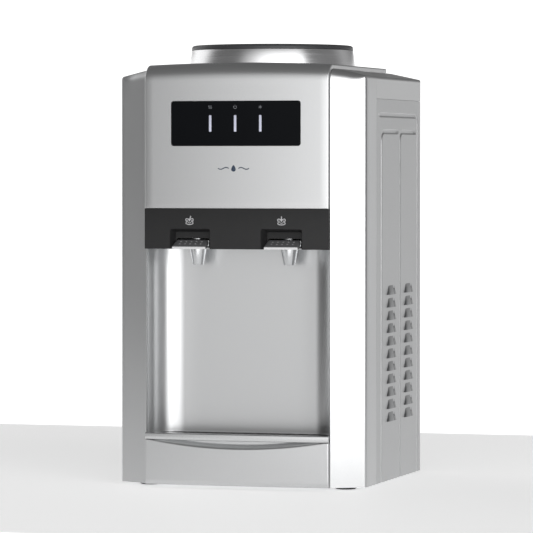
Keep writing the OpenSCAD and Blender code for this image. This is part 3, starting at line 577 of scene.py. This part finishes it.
def make_emblem():
    """A small plain drop over a wave under the window."""
    x0, z0 = -2 * MM, 381 * MM

    def place(u, v, w):
        return front_place(x0 + u, z0 + v, w)

    drop = []
    for k in range(24):
        a = 2 * pi * k / 24
        drop.append((2.6 * MM * sin(a) * (1 - 0.45 * cos(a)), 3.8 * MM * cos(a)))
    parts = [slab(drop, place, -0.2 * MM, 0.15 * MM, 0.05 * MM)]
    for side in SIDES:
        wave = [(side * (6 + 1.1 * k) * MM, 1.1 * MM * sin(k * pi / 6)) for k in range(13)]
        parts.append(ribbon(wave, 1.1 * MM, place))
    piece("front_emblem", *join(parts), "emblem", "upper_fascia", False)


# ---- Columns ----

COLUMN_LOW, COLUMN_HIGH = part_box("right_column")
COLUMN_Y = COLUMN_LOW.y
SIDE_X = COLUMN_HIGH.x
CORNER_Y = -120 * MM
BODY_TOP = BAND_TOP - 5.5 * MM
SIDE_DROP = 8.5 * MM


def body_top_at(x):
    """Height of the body's gently rounded top at x."""
    t = max(0.0, (abs(x) - BAND_X) / (SIDE_X - BAND_X))
    return BODY_TOP - SIDE_DROP * t * (0.62 + 0.38 * t)


def column_outline():
    """Plan of a column from the band's edge to the rear of its flange.

    Each point is (x, y, inward direction, radius of the roll at the top).
    """
    slope = atan2(CORNER_Y - COLUMN_Y, SIDE_X - BAND_X)
    inner = BAND_X + 0.3 * MM
    r = 5 * MM
    reach = r * sin((pi / 2 - slope) / 2) / cos((pi / 2 - slope) / 2)
    ex, ey = SIDE_X - reach * cos(slope), CORNER_Y - reach * sin(slope)
    points = []
    for k in range(10):
        t = k / 9
        turn = slope * min(1, 2.5 * t)
        points.append((inner + (ex - inner) * t, COLUMN_Y + (ey - COLUMN_Y) * t + 0.1 * MM * t,
                       (-sin(turn), cos(turn)), (13 - 8.6 * max(0, 2.5 * t - 1.5) ** 2) * MM))
    cx, cy = SIDE_X - r, CORNER_Y + reach
    for k in range(1, 9):
        a = -pi / 2 + slope + (pi / 2 - slope) * k / 8
        points.append((cx + r * cos(a), cy + r * sin(a), (-cos(a), -sin(a)), 4.4 * MM))
    rear = COLUMN_HIGH.y
    for k in range(1, 6):
        points.append((SIDE_X, cy + (rear - cy) * k / 5, (-1, 0), 4.4 * MM))
    return points


def run_share(outline, x, y):
    """How far along the outline a point is, from 0 to 1."""
    first, last = outline[0], outline[-1]
    whole = (last[0] - first[0]) + (last[1] - first[1])
    return ((x - first[0]) + (y - first[1])) / whole


def make_columns():
    outline = column_outline()
    z0 = COLUMN_LOW.z
    for side, node in ((-1, "left_column"), (1, "right_column")):
        verts = []
        rows = 0
        levels = [("wall", k / 24) for k in range(25)] + [("bend", k / 8) for k in range(1, 9)] \
            + [("top", k / 8) for k in range(1, 9)]
        for kind, t in levels:
            rows += 1
            for x, y, (nx, ny), r in outline:
                top = body_top_at(x + nx * r)
                if kind == "wall":
                    point = (x, y, z0 + (top - r - z0) * t)
                elif kind == "bend":
                    a = pi / 2 * t
                    s = r * (1 - cos(a))
                    point = (x + nx * s, y + ny * s, top - r + r * sin(a))
                else:
                    share = run_share(outline, x, y)
                    start = (x + nx * r, y + ny * r)
                    end = (BAND_X + 0.3 * MM,
                           (COLUMN_Y + outline[0][3]) * (1 - share) + COLUMN_HIGH.y * share)
                    px = start[0] + (end[0] - start[0]) * t
                    point = (px, start[1] + (end[1] - start[1]) * t, body_top_at(px))
                verts.append((side * max(point[0], BAND_X + 0.3 * MM), point[1], point[2]))
        obj = piece(node + "_shell", verts, grid_faces(rows, len(outline)), "silver", node)
        thicken(obj, 2.0 * MM)


# ---- Side panels ----

PANEL_LOW, PANEL_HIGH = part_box("right_side_panel")
GROOVES = ((-52, 425, 22), (35, 425, 109), (120, 445, -58))   # plan place, top, end of top run
GROOVE_TURN = 12
GROOVE_HALF = 3.0
GROOVE_DEPTH = 1.6
LOUVRE_YS = (-6, 76)
LOUVRE_Z0 = 234
LOUVRE_PITCH = 15.3
LOUVRE_ROWS = 11
LOUVRE_W = 42
LOUVRE_H = 11
LOUVRE_OUT = 2.5


def groove_distance(y, z):
    """Distance in mm from the nearest groove's middle line."""
    best = 99.0
    for y0, top, y1 in GROOVES:
        s = 1 if y1 > y0 else -1
        turn_y, turn_z = y0 + s * GROOVE_TURN, top - GROOVE_TURN
        if z <= turn_z:
            d = abs(y - y0)
        elif (y - turn_y) * s < 0:
            d = abs(hypot(y - turn_y, z - turn_z) - GROOVE_TURN)
        elif (y - y1) * s <= 0:
            d = abs(z - top)
        else:
            d = hypot(y - y1, z - top)
        best = min(best, d)
    return best


def louvre_slots():
    for y in LOUVRE_YS:
        for row in range(LOUVRE_ROWS):
            yield y, LOUVRE_Z0 - row * LOUVRE_PITCH


def make_side_panels():
    x_face = SIDE_X / MM
    y_low, y_high = PANEL_LOW.y / MM, PANEL_HIGH.y / MM
    z_low, z_high = PANEL_LOW.z / MM, PANEL_HIGH.z / MM
    half_w, slot_low, slot_high = 0.6 * LOUVRE_W / 2, 1 - LOUVRE_H / 2, 1.5
    spots = [(y0 + (GROOVE_TURN if y1 > y0 else -GROOVE_TURN) / 2 * 0.8, 12, 0.5)
             for y0, top, y1 in GROOVES]
    edges_y = [(y + s * half_w, 0, 1) for y in LOUVRE_YS for s in SIDES]
    spots_z = [(425 - 5, 12, 0.5), (445 - 5, 12, 0.5)]
    edges_z = [(LOUVRE_Z0 - r * LOUVRE_PITCH + edge, 0, 1)
               for r in range(LOUVRE_ROWS) for edge in (slot_low, slot_high)]
    ys = lines(y_low, y_high - 4, 6, spots)
    zs = lines(z_low, z_high, 7, spots_z)
    ys = merge_lines(ys, [e[0] for e in edges_y])
    zs = merge_lines(zs, [e[0] for e in edges_z])
    bend = [(4 * (1 - cos(a)), 4 * sin(a)) for a in (pi / 2 * k / 6 for k in range(1, 7))]
    flange = [(4 + 14 * k / 2, 4) for k in range(1, 3)]
    for side, node in ((-1, "left_side_panel"), (1, "right_side_panel")):
        columns = [(x_face, y) for y in ys] + [(x_face - a, y_high - 4 + b) for a, b in bend + flange]
        verts = []
        for z in zs:
            for x, y in columns:
                d = max(0, groove_distance(y, z) / GROOVE_HALF - 0.4) / 0.6
                depth = GROOVE_DEPTH * (0.5 + 0.5 * cos(pi * min(1, d))) if x == x_face else 0
                verts.append((side * (x - depth) * MM, y * MM, z * MM))
        faces = []
        for face in grid_faces(len(zs), len(columns)):
            cy = sum(verts[i][1] for i in face) / 4 / MM
            cz = sum(verts[i][2] for i in face) / 4 / MM
            if not any(abs(cy - y) < half_w and slot_low < cz - z < slot_high
                       for y, z in louvre_slots()):
                faces.append(face)
        # the side sheet wears the darker side silver, which is painted shade
        obj = piece(node + "_sheet", verts, faces, "silver_side", node, angle=50)
        thicken(obj, 1.0 * MM, 50)
        hoods = join([louvre_hood(side, y, z) for y, z in louvre_slots()])
        # the hoods wear the darker louvre silver, which is painted shade
        obj = piece(node + "_louvres", *hoods, "louvre", node, angle=60)


def merge_lines(values, wanted):
    """Grid lines with the wanted ones added, and their close neighbours dropped."""
    kept = [v for v in values if all(abs(v - w) > 0.6 for w in wanted)]
    return sorted(kept + list(set(round(w, 5) for w in wanted)))


def louvre_hood(side, yc, zc):
    """A pressed bell-shaped hood, open at its foot, with a dimple in its rear upper corner."""
    across, up = 28, 9
    outer, inner = [], []
    for level, thick in ((outer, 0.0), (inner, 0.8)):
        for j in range(up + 1):
            v = j / up
            for i in range(across + 1):
                u = -1 + 2 * i / across
                end = max(0.0, 1 - abs(u) ** 5) ** 0.5
                rise = (1 - v ** 1.35) * end
                fold = 0.55 * max(0.0, 1 - abs(u - 0.25) / 0.16)
                dimple = 2.0 * max(0.0, 1 - abs(u - 0.7) / 0.25) * max(0.0, min(1.0, 3 * v - 1.2))
                out = (LOUVRE_OUT - fold) * rise - dimple * min(1, 4 - 4 * v)
                out = max(out - thick * (0.4 + 0.6 * rise), -1.0 if thick else -0.7)
                reach = 0.72 + 0.28 * (1 - v) ** 2
                y = yc + u * reach * (LOUVRE_W / 2 - thick * 0.5)
                z = zc - LOUVRE_H / 2 + LOUVRE_H * v * (0.86 + 0.14 * end)
                level.append((side * (SIDE_X / MM + out) * MM, y * MM, z * MM))
    n = across + 1
    size = n * (up + 1)
    faces = grid_faces(up + 1, n) + [tuple(size + k for k in f) for f in grid_faces(up + 1, n)]
    rim = [j for j in range(n)] + [n * j + across for j in range(1, up + 1)] \
        + [n * up + i for i in range(across - 1, -1, -1)] + [n * j for j in range(up - 1, 0, -1)]
    for k, a in enumerate(rim):
        b = rim[(k + 1) % len(rim)]
        faces.append((a, b, size + b, size + a))
    return outer + inner, faces


# ---- Tap strip ----

STRIP_LOW, STRIP_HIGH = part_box("tap_strip")
TAP_X = 57 * MM
TAPS = (("hot", -TAP_X), ("cold", TAP_X))
POCKET_TOP = 308.5 * MM
POCKET_Y = -136 * MM
STRIP_DEPTH = STRIP_HIGH.y - BAND_Y


def make_tap_strip():
    z0, z1 = STRIP_LOW.z, STRIP_HIGH.z
    edge = 0.5 * MM
    profile = [(None, z0), (edge, z0), (edge * 0.3, z0 + edge * 0.3), (0, z0 + edge),
               (0, z1 - edge), (edge * 0.3, z1 - edge * 0.3), (edge, z1), (None, z1)]
    xs = [BAND_X * (-1 + 2 * k / 32) for k in range(33)]
    verts = [(x, BAND_Y - crown(x) + (STRIP_DEPTH if d is None else d), z) for x in xs for d, z in profile]
    n = len(profile)
    faces = grid_faces(len(xs), n, closed_columns=True)
    faces.append(tuple(range(n)))
    faces.append(tuple(range(len(verts) - n, len(verts))))
    obj = piece("tap_strip_front", verts, faces, "strip", "tap_strip")
    for _, x in TAPS:
        cut(obj, *pocket_shape(x, z0))
        cut(obj, *slab(round_rect(41 * MM, 25 * MM, 2 * MM, cx=x, cy=z0),
                       lambda u, v, w: (u, w, v), POCKET_Y - 2 * MM, POCKET_Y + 9 * MM, 0.0))


def pocket_shape(x, z0):
    """A pocket with drafted walls: wide at the front, open at the foot."""
    levels = ((BAND_Y - 12 * MM, 28.5 * MM, 3.0 * MM), (BAND_Y - 2 * MM, 25.2 * MM, 0.6 * MM),
              (BAND_Y - 0.6 * MM, 24.3 * MM, 0.0), (POCKET_Y, 21.6 * MM, -3.0 * MM))
    verts = []
    for y, half, lift in levels:
        top = POCKET_TOP + lift
        outline = [(-half, z0 - 5 * MM)] + [(half, z0 - 5 * MM)] \
            + arc(half - 2 * MM, top - 2 * MM, 2 * MM, 0, 90, 4) \
            + arc(-half + 2 * MM, top - 2 * MM, 2 * MM, 90, 180, 4)
        verts += [(x + u, y, v) for u, v in outline]
        n = len(outline)
    faces = grid_faces(len(levels), n, closed_columns=True)
    faces.append(tuple(range(n)))
    faces.append(tuple(range(len(verts) - n, len(verts))))
    return verts, faces


def make_icons():
    """A round cup with an arrow into it over each tap; the hot one's arrow leans."""
    z = 318.2 * MM
    thin = 1.0 * MM
    parts = []
    for name, x in TAPS:

        def place(u, v, w, x=x):
            return front_place(x + u, z + v, w)

        for side in SIDES:
            rim = [(side * u * MM, v * MM) for u, v in
                   ((2.2, 2.6), (3.4, 3.2), (4.5, 2.6), (4.7, 1.4), (4.0, 0.2), (3.9, -1.2),
                    (4.6, -2.4), (3.6, -3.2), (1.9, -3.7), (0, -3.9))]
            parts.append(ribbon(rim, thin, place))
        bowl = [(u * MM, v * MM) for u, v in
                ((-3.0, 1.6), (-2.7, 0.0), (-1.7, -1.5), (0, -2.1), (1.7, -1.5), (2.7, 0.0), (3.0, 1.6))]
        parts.append(ribbon(bowl, thin * 0.7, place))
        lean = 1.6 if name == "hot" else 0.0
        parts.append(ribbon([(lean * MM, 6.2 * MM), (lean * 0.35 * MM, 2.8 * MM)], thin * 1.2, place))
        head = [(-0.2 * MM, -0.6 * MM), (2.3 * MM, 2.9 * MM), (-2.4 * MM, 3.2 * MM)]
        parts.append(slab(head, place, -0.25 * MM, 0.15 * MM, 0.03 * MM))
    piece("tap_icons", *join(parts), "icons", "tap_strip", False)


# ---- Taps and levers ----

def make_taps():
    for name, x in TAPS:
        low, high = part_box(f"{name}_tap_body")
        centre = Vector((x, -116 * MM, 0))
        spout_z = low.z
        profile = [(5.0 * MM, 290 * MM), (5.0 * MM, spout_z + 1 * MM), (5.4 * MM, spout_z + 0.2 * MM),
                   (6.0 * MM, spout_z), (6.6 * MM, spout_z + 0.2 * MM), (6.9 * MM, spout_z + 0.9 * MM),
                   (9.9 * MM, 284 * MM), (10.2 * MM, 285.4 * MM), (10.2 * MM, 304.4 * MM),
                   (9.6 * MM, 305 * MM), (2.9 * MM, 305 * MM), (2.9 * MM, 302 * MM),
                   (8.0 * MM, 302 * MM), (8.0 * MM, 290 * MM)]
        parts = [lathe(profile, centre, 64)]
        flange = round_rect(40 * MM, 29 * MM, 3 * MM, cx=x, cy=-110.5 * MM)
        parts.append(slab(flange, lambda u, v, w: (u, v, w), 287.3 * MM, 289.2 * MM))
        for lug in (-17.5 * MM, 17.5 * MM):
            ear = round_rect(18 * MM, 9.7 * MM, 3 * MM, cx=-124.5 * MM, cy=292.1 * MM)
            parts.append(slab(ear, lambda u, v, w: (w, u, v), x + lug - 1.5 * MM, x + lug + 1.5 * MM))
        inlet = [(3.2 * MM, 0), (5 * MM, 0), (5 * MM, 12 * MM), (3.2 * MM, 12 * MM)]
        tube, tube_faces = lathe(inlet, Vector((0, 0, 0)), 32)
        parts.append(([(x + a, -107 * MM + c, 296 * MM + b) for a, b, c in tube], tube_faces))
        piece(f"{name}_tap_spout", *join(parts), "chrome", f"{name}_tap_body")
        make_lever(name, x)


def make_lever(name, x):
    """Sloping paddle with two rows of grip dots, a bright front edge, arms and fork."""
    front_y, back_y = -153 * MM, -136.3 * MM
    z_edge, z_front, z_back = 285.2 * MM, 288.5 * MM, 296.6 * MM
    half_front, half_back = 21.4 * MM, 20.1 * MM
    rows, columns = 13, 25

    def top_point(u, v):
        half = half_front + (half_back - half_front) * v
        y = front_y + 1.0 * MM + (back_y - front_y - 1.0 * MM) * v
        z = z_front + (z_back - z_front) * (v ** 0.92)
        edge = max(0.0, abs(u) - 0.9) / 0.1
        corner = max(0.0, (abs(u) - 0.8) / 0.2) * max(0.0, (v - 0.75) / 0.25)
        return (x + half * u * (1 - 0.05 * corner), y - 1.5 * MM * corner ** 2,
                z - 1.2 * MM * edge ** 2 - 0.8 * MM * max(0.0, (v - 0.9) / 0.1) ** 2)

    top = [top_point(-1 + 2 * i / (columns - 1), j / (rows - 1))
           for j in range(rows) for i in range(columns)]
    top_faces = grid_faces(rows, columns)
    n = len(top)
    under = [(px, py, max(z_edge, pz - 2.6 * MM)) for px, py, pz in top]
    rim = list(range(columns)) + [columns * j + columns - 1 for j in range(1, rows)] \
        + [columns * (rows - 1) + i for i in range(columns - 2, -1, -1)] \
        + [columns * j for j in range(rows - 2, 0, -1)]
    sides = [(a, b, n + b, n + a) for a, b in zip(rim, rim[1:] + rim[:1])]
    under_faces = [tuple(n + k for k in f) for f in top_faces]
    piece(f"{name}_lever_paddle", top + under, top_faces + under_faces + sides, "lever",
          f"{name}_tap_lever")
    bar = [(-half_front, front_y + 1.6 * MM), (-half_front + 0.8 * MM, front_y + 0.1 * MM),
           (half_front - 0.8 * MM, front_y + 0.1 * MM), (half_front, front_y + 1.6 * MM),
           (half_front - 0.5 * MM, front_y + 2.4 * MM), (-half_front + 0.5 * MM, front_y + 2.4 * MM)]
    piece(f"{name}_lever_edge", *slab([(x + u, v) for u, v in bar], lambda u, v, w: (u, v, w),
                                      z_edge, z_edge + 3.0 * MM, 0.35 * MM),
          "collar", f"{name}_tap_lever", False)
    dots = []
    for j, v in enumerate((0.3, 0.62)):
        for i in range(5):
            u = (-0.62 + 0.31 * i) * (1.0 if j == 0 else 1.02)
            px, py, pz = top_point(u, v)
            dots.append(dome((px, py, pz - 0.1 * MM), 1.15 * MM, 0.7 * MM))
    piece(f"{name}_lever_dots", *join(dots), "marks_grey", f"{name}_tap_lever", False)
    parts = []
    for side in SIDES:
        arm = [(-137, 290), (-131, 289.6), (-126, 290.4), (-121.5, 291), (-119.5, 296),
               (-113.5, 304), (-113, 308.3), (-120.8, 308.3), (-121, 300), (-126, 296.4), (-137, 295.9)]
        parts.append(slab([(a * MM, b * MM) for a, b in arm], lambda u, v, w: (w, u, v),
                          x + side * 13.5 * MM - 1.5 * MM, x + side * 13.5 * MM + 1.5 * MM, 0.3 * MM))
        prong = round_rect(9.5 * MM, 7.5 * MM, 0.8 * MM, 3, cx=x + side * 8.3 * MM, cy=-117 * MM)
        parts.append(slab(prong, lambda u, v, w: (u, v, w), 306.4 * MM, 308.3 * MM, 0.2 * MM))
    piece(f"{name}_lever_arms", *join(parts), "strip", f"{name}_tap_lever", False)


def dome(centre, r, h, turns=12):
    verts = [centre[:2] + (centre[2] + h,)]
    faces = []
    for ring, (k, rise) in enumerate(((0.55, 0.8), (0.9, 0.4), (1.0, -0.2))):
        for t in range(turns):
            a = 2 * pi * t / turns
            verts.append((centre[0] + k * r * cos(a), centre[1] + k * r * sin(a),
                          centre[2] + h * rise))
    for t in range(turns):
        faces.append((0, 1 + t, 1 + (t + 1) % turns))
        for ring in range(2):
            a, b = 1 + ring * turns + t, 1 + ring * turns + (t + 1) % turns
            faces.append((a, a + turns, b + turns, b))
    faces.append(tuple(1 + 2 * turns + t for t in range(turns)))
    return verts, faces


# ---- Alcove ----

ALCOVE_LOW, ALCOVE_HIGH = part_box("alcove_liner")


def make_alcove():
    wall = 1.5 * MM
    x_in = ALCOVE_HIGH.x - wall
    y_in = ALCOVE_HIGH.y - wall
    r = 31 * MM
    front = ALCOVE_LOW.y
    plan = [(-x_in, front + (y_in - r - front) * k / 3) for k in range(4)]
    plan += arc(-x_in + r, y_in - r, r, 180, 90, 20)[1:]
    plan += [(-x_in + r + (2 * x_in - 2 * r) * k / 8, y_in) for k in range(1, 8)]
    plan += arc(x_in - r, y_in - r, r, 90, 0, 20)
    plan += [(x_in, y_in - r + (front - y_in + r) * k / 3) for k in range(1, 4)]
    z0, z1 = ALCOVE_LOW.z, STRIP_LOW.z - 0.3 * MM
    heights = [z0 + (z1 - z0) * k / 10 for k in range(11)]
    verts = [(x, y, z) for z in heights for x, y in plan]
    wall_part = (verts, grid_faces(len(heights), len(plan)))
    obj = piece("alcove_wall", *wall_part, "alcove", "alcove_liner")
    apply_modifier(obj, "SOLIDIFY", thickness=1.4 * MM, offset=1)
    smooth_by_angle(obj.data)
    outline = [(x * 0.999, y if y > front + 1 * MM else -133.5 * MM) for x, y in plan]
    ceiling = piece("alcove_ceiling", *slab(outline, lambda u, v, w: (u, v, w),
                                            z1, z1 + 2 * MM, 0.1 * MM), "alcove", "alcove_liner")
    for _, x in TAPS:
        hole = [(1 * MM, z1 - 5 * MM), (12.4 * MM, z1 - 5 * MM), (12.4 * MM, z1 + 6 * MM),
                (1 * MM, z1 + 6 * MM)]
        cut(ceiling, *lathe(hole, Vector((x, -116 * MM, 0)), 48))
    floor = [(x * 0.998, y) for x, y in plan]
    piece("alcove_floor", *slab(floor, lambda u, v, w: (u, v, w), z0, z0 + 1.9 * MM, 0.1 * MM),
          "alcove", "alcove_liner")


# ---- Drip tray ----

TRAY_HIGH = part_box("drip_tray")[1]


def make_tray():
    lip_z0, lip_z1 = 57.5 * MM, TRAY_HIGH.z
    half = BAND_X - 0.4 * MM
    e = 1.4 * MM
    profile = [(11 * MM, lip_z0), (e, lip_z0)] + [
        (e - e * sin(a), lip_z0 + e - e * cos(a)) for a in (pi / 2 * k / 4 for k in range(1, 5))] + [
        (e - e * cos(a), lip_z1 - e + e * sin(a)) for a in (pi / 2 * k / 4 for k in range(5))] + [
        (8 * MM, lip_z1), (9.2 * MM, lip_z1 - 0.6 * MM), (11 * MM, lip_z1 - 2.6 * MM)]
    xs = [half * (-1 + 2 * k / 40) for k in range(41)]
    n = len(profile)
    verts = [(x, BAND_Y - crown(x) + d, z) for x in xs for d, z in profile]
    faces = grid_faces(len(xs), n, closed_columns=True)
    faces += [tuple(range(n)), tuple(range(len(verts) - n, len(verts)))]
    piece("drip_tray_lip", verts, faces, "lip_silver", "drip_tray")
    x_out = ALCOVE_HIGH.x - 2.2 * MM
    y_out = ALCOVE_HIGH.y - 2.1 * MM

    def plan(d, y0, r=29 * MM):
        r = r - d
        return [(-x_out + d, y0)] + arc(-x_out + d + r, y_out - d - r, r, 180, 90, 10) \
            + arc(x_out - d - r, y_out - d - r, r, 90, 0, 10) + [(x_out - d, y0)]

    levels = [(0, -138, 61.9), (0, -138, 64.0), (3.8, -138, 64.1), (4.2, -138, 61.9),
              (7.5, -134.5, 61.6), (7.8, -134.3, 48.6), (9.5, -133, 48.0), (40, -118, 47.8)]
    outer = [(40, -118, 46.4), (8, -134.6, 46.4), (6, -136.2, 47.4), (6, -136.4, 60), (0.4, -138, 60.6)]
    rings = [plan(d * MM, y * MM, 29 * MM if d < 28 else 45 * MM) for d, y, _ in levels + outer]
    heights = [z * MM for _, _, z in levels + outer]
    verts = [(x, y, z) for ring, z in zip(rings, heights) for x, y in ring]
    m = len(rings[0])
    faces = grid_faces(len(rings), m, closed_rows=True, closed_columns=True)
    piece("drip_tray_basin", verts, faces, "silver", "drip_tray")


# ---- Lower fascia ----

FASCIA_LOW, FASCIA_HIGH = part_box("lower_fascia")


def make_lower_fascia():
    z0, z1 = FASCIA_LOW.z, FASCIA_HIGH.z
    scoop_half, scoop_h, scoop_d = 111 * MM, 9.8 * MM, 6.2 * MM
    zs = [z0, z0 + 0.3 * MM, z0 + 1 * MM] + [z0 + (40 * MM - z0) * k / 6 for k in range(1, 7)]
    zs += [40 * MM + (z1 - 40 * MM) * k / 34 for k in range(1, 35)]
    section = []
    for x, d in band_section(BAND_X, 1.6 * MM):
        section.append((x, d))
    dense = [p for p in section if abs(p[0]) > BAND_X - 1.7 * MM]
    flat = [(BAND_X - 1.8 * MM) * (1 - 2 * k / 72) for k in range(73)]
    right = [p for p in dense if p[0] > 0]
    left = [p for p in dense if p[0] < 0]
    section = right + [(x, 0) for x in flat] + left
    verts = []
    for z in zs:
        foot = max(0.0, 1 - (z - z0) / (1 * MM))
        for x, d in section:
            scoop = 0.0
            if abs(x) < scoop_half:
                start = z1 - scoop_h * (1 - (x / scoop_half) ** 2)
                if z > start:
                    t = (z - start) / scoop_h
                    scoop = scoop_d * min(1.0, 1.6 * t) * (1 if t > 0.6 else (t / 0.6) ** 0.35)
            depth = d + scoop + foot ** 2 * 1 * MM * (1 if d < 1 * MM else 0)
            verts.append((x, BAND_Y - crown(x) + depth, z))
    obj = piece("lower_fascia_panel", verts, grid_faces(len(zs), len(section)), "silver_front",
                "lower_fascia", angle=40)
    thicken(obj, 1.6 * MM, 40)


# ---- Bottle seat ----

def make_bottle_seat():
    centre = seat_centre()
    low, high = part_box("bottle_collar")
    r0 = high.x - centre.x
    z0, z1 = low.z, high.z
    r1 = r0 - 2.6 * MM
    ring = [(r0 - 1.2 * MM, z0), (r0 - 0.2 * MM, z0), (r0, z0 + 0.3 * MM), (r1, z1 - 0.3 * MM),
            (r1 - 0.2 * MM, z1), (r1 - 1.2 * MM, z1)]
    piece("bottle_collar_ring", *lathe(ring, centre, 256), "collar", "bottle_collar")
    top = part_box("bottle_seat")[1].z
    lip_r = r1
    lip = arc(lip_r - 3.8 * MM, top - 3.8 * MM, 3.8 * MM, -5, 90, 8)
    outline = [(r1 - 4.2 * MM, z1 - 1 * MM), (r1 - 4.2 * MM, z0 + 0.2 * MM), (93 * MM, z0 + 0.2 * MM),
               (93 * MM, 511 * MM), (86 * MM, 511 * MM), (36 * MM, 492 * MM), (36 * MM, 448 * MM),
               (5.1 * MM, 448 * MM), (5.1 * MM, 451 * MM), (33 * MM, 451 * MM), (33 * MM, 492.6 * MM)]
    outline += [(34.2 * MM, 495.0 * MM), (60 * MM, 506.9 * MM), (83.5 * MM, 517.4 * MM),
                (86.6 * MM, 520 * MM), (89.2 * MM, top - 2.2 * MM), (90.6 * MM, top - 0.6 * MM),
                (92.6 * MM, top)]
    outline += list(reversed(lip)) + [(lip_r, z1 + 0.35 * MM), (r1 - 4.2 * MM, z1 + 0.35 * MM)]
    piece("bottle_seat_funnel", *lathe(outline, centre, 160), "lip", "bottle_seat", angle=28)
    low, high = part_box("bottle_probe")
    r = 10 * MM
    probe = [(7.5 * MM, 451.2 * MM), (14 * MM, 451.2 * MM), (14 * MM, 452.6 * MM), (13.4 * MM, 453 * MM),
             (r, 453 * MM), (r, 490 * MM)] + arc(r - 4 * MM, 493 * MM, 4 * MM, 0, 75, 5) + [
             (2 * MM, 497 * MM), (0.6 * MM, 497 * MM), (0.6 * MM, 489.6 * MM), (7.5 * MM, 489.6 * MM)]
    obj = piece("bottle_probe_tube", *lathe(probe, centre, 64), "white", "bottle_probe")
    for turned in (False, True):
        outline = round_rect(6 * MM, 8 * MM, 2 * MM, cy=458 * MM)

        def place(u, v, w, turned=turned):
            return (centre.x + w, centre.y + u, v) if turned else (centre.x + u, centre.y + w, v)

        cut(obj, *slab(outline, place, -20 * MM, 20 * MM, 0.0))


# ---- Stage ----

FLOOR_GLOW = 0.5        # the same all over, so that the floor reads near white


def make_stage():
    """A plain pale floor."""
    floor_look = Nodes("pale_floor")
    floor_look.set(Base_Color=floor_look.tint(floor_look.noise(3), (0.86, 0.86, 0.86),
                                              (0.88, 0.88, 0.88)), Roughness=0.6)
    floor_look.set(Emission_Color=(1, 1, 1, 1), Emission_Strength=FLOOR_GLOW)
    mesh = bpy.data.meshes.new("floor")
    mesh.from_pydata([(-2, -0.7, 0), (2, -0.7, 0), (2, 0.8, 0), (-2, 0.8, 0)], [], [(0, 1, 2, 3)])
    mesh.materials.append(floor_look.material)
    floor = bpy.data.objects.new("floor", mesh)
    bpy.context.scene.collection.objects.link(floor)


def area_light(name, place, target, size, power):
    data = bpy.data.lights.new(name, "AREA")
    data.shape = "RECTANGLE"
    data.size, data.size_y = size
    data.energy = power
    light = bpy.data.objects.new(name, data)
    light.location = place
    direction = Vector(target) - Vector(place)
    light.rotation_euler = direction.to_track_quat("-Z", "Y").to_euler()
    bpy.context.scene.collection.objects.link(light)


# Brightness of the studio: azimuth in degrees from the front, then level, then level higher up.
STUDIO = ((-180, 1.25, 0.12), (-150, 1.3, 0.2), (-125, 1.3, 1.2), (-98, 1.3, 1.1),
          (-84, 0.4, 0.3), (-76, 0.12, 0.15), (-48, 0.12, 0.15), (-34, 0.12, 0.15), (-10, 1.15, 0.9),
          (0, 1.9, 1.4), (14, 2.6, 1.9), (60, 2.6, 1.9), (68, 0.3, 0.3), (76, 0.1, 0.2),
          (118, 0.1, 0.2), (140, 0.45, 0.4), (165, 0.72, 0.25), (180, 1.25, 0.12))
OVERHEAD = 0.12


def make_world():
    """Soft light that changes round the horizon and falls off overhead."""
    world = bpy.data.worlds.new("studio")
    world.use_nodes = True
    tree = world.node_tree

    def node(kind, inputs, **settings):
        made = tree.nodes.new(kind)
        for key, value in settings.items():
            setattr(made, key, value)
        for key, value in inputs.items():
            if isinstance(value, bpy.types.NodeSocket):
                tree.links.new(value, made.inputs[key])
            else:
                made.inputs[key].default_value = value
        return made

    coords = node("ShaderNodeTexCoord", {})
    parts = node("ShaderNodeSeparateXYZ", {0: coords.outputs["Generated"]})
    front = node("ShaderNodeMath", {0: parts.outputs["Y"], 1: -1.0}, operation="MULTIPLY")
    angle = node("ShaderNodeMath", {0: parts.outputs["X"], 1: front.outputs[0]},
                 operation="ARCTAN2")
    share = node("ShaderNodeMapRange", {"Value": angle.outputs[0], "From Min": -pi, "From Max": pi})

    def ramp(column):
        made = node("ShaderNodeValToRGB", {0: share.outputs[0]})
        elements = made.color_ramp.elements
        while len(elements) < len(STUDIO):
            elements.new(0.5)
        for element, row in zip(elements, STUDIO):
            element.position = (row[0] + 180) / 360
            element.color = (row[column] / 3, row[column] / 3, row[column] / 3, 1)
        return made.outputs[0]

    def rise(start, end):
        made = node("ShaderNodeMapRange", {"Value": parts.outputs["Z"], "From Min": start,
                                           "From Max": end}, interpolation_type="SMOOTHSTEP")
        return made.outputs[0]

    level = OVERHEAD / 3
    low = node("ShaderNodeMix", {0: rise(0.05, 0.16), 6: ramp(1), 7: ramp(2)}, data_type="RGBA")
    whole = node("ShaderNodeMix", {0: rise(0.4, 0.8), 6: low.outputs[2],
                                   7: (level, level, level, 1)}, data_type="RGBA")
    background = tree.nodes["Background"]
    tree.links.new(whole.outputs[2], background.inputs["Color"])
    background.inputs["Strength"].default_value = 3.0
    bpy.context.scene.world = world


def make_lights():
    make_world()
    middle = (0, 0, 0.27)
    area_light("right_front", (2.2, -2.5, 0.9), middle, (1.2, 2.2), 8)


MATERIALS["marks_grey"] = moulded("lever_dots", (0.38, 0.38, 0.39), 0.35, depth=0.0)

make_camera()
dress_cad_nodes()
make_upper_fascia()
make_display()
make_emblem()
make_columns()
make_side_panels()
make_tap_strip()
make_icons()
make_taps()
make_alcove()
make_tray()
make_lower_fascia()
make_bottle_seat()
make_stage()
make_lights()
bpy.context.scene.view_settings.view_transform = "Standard"
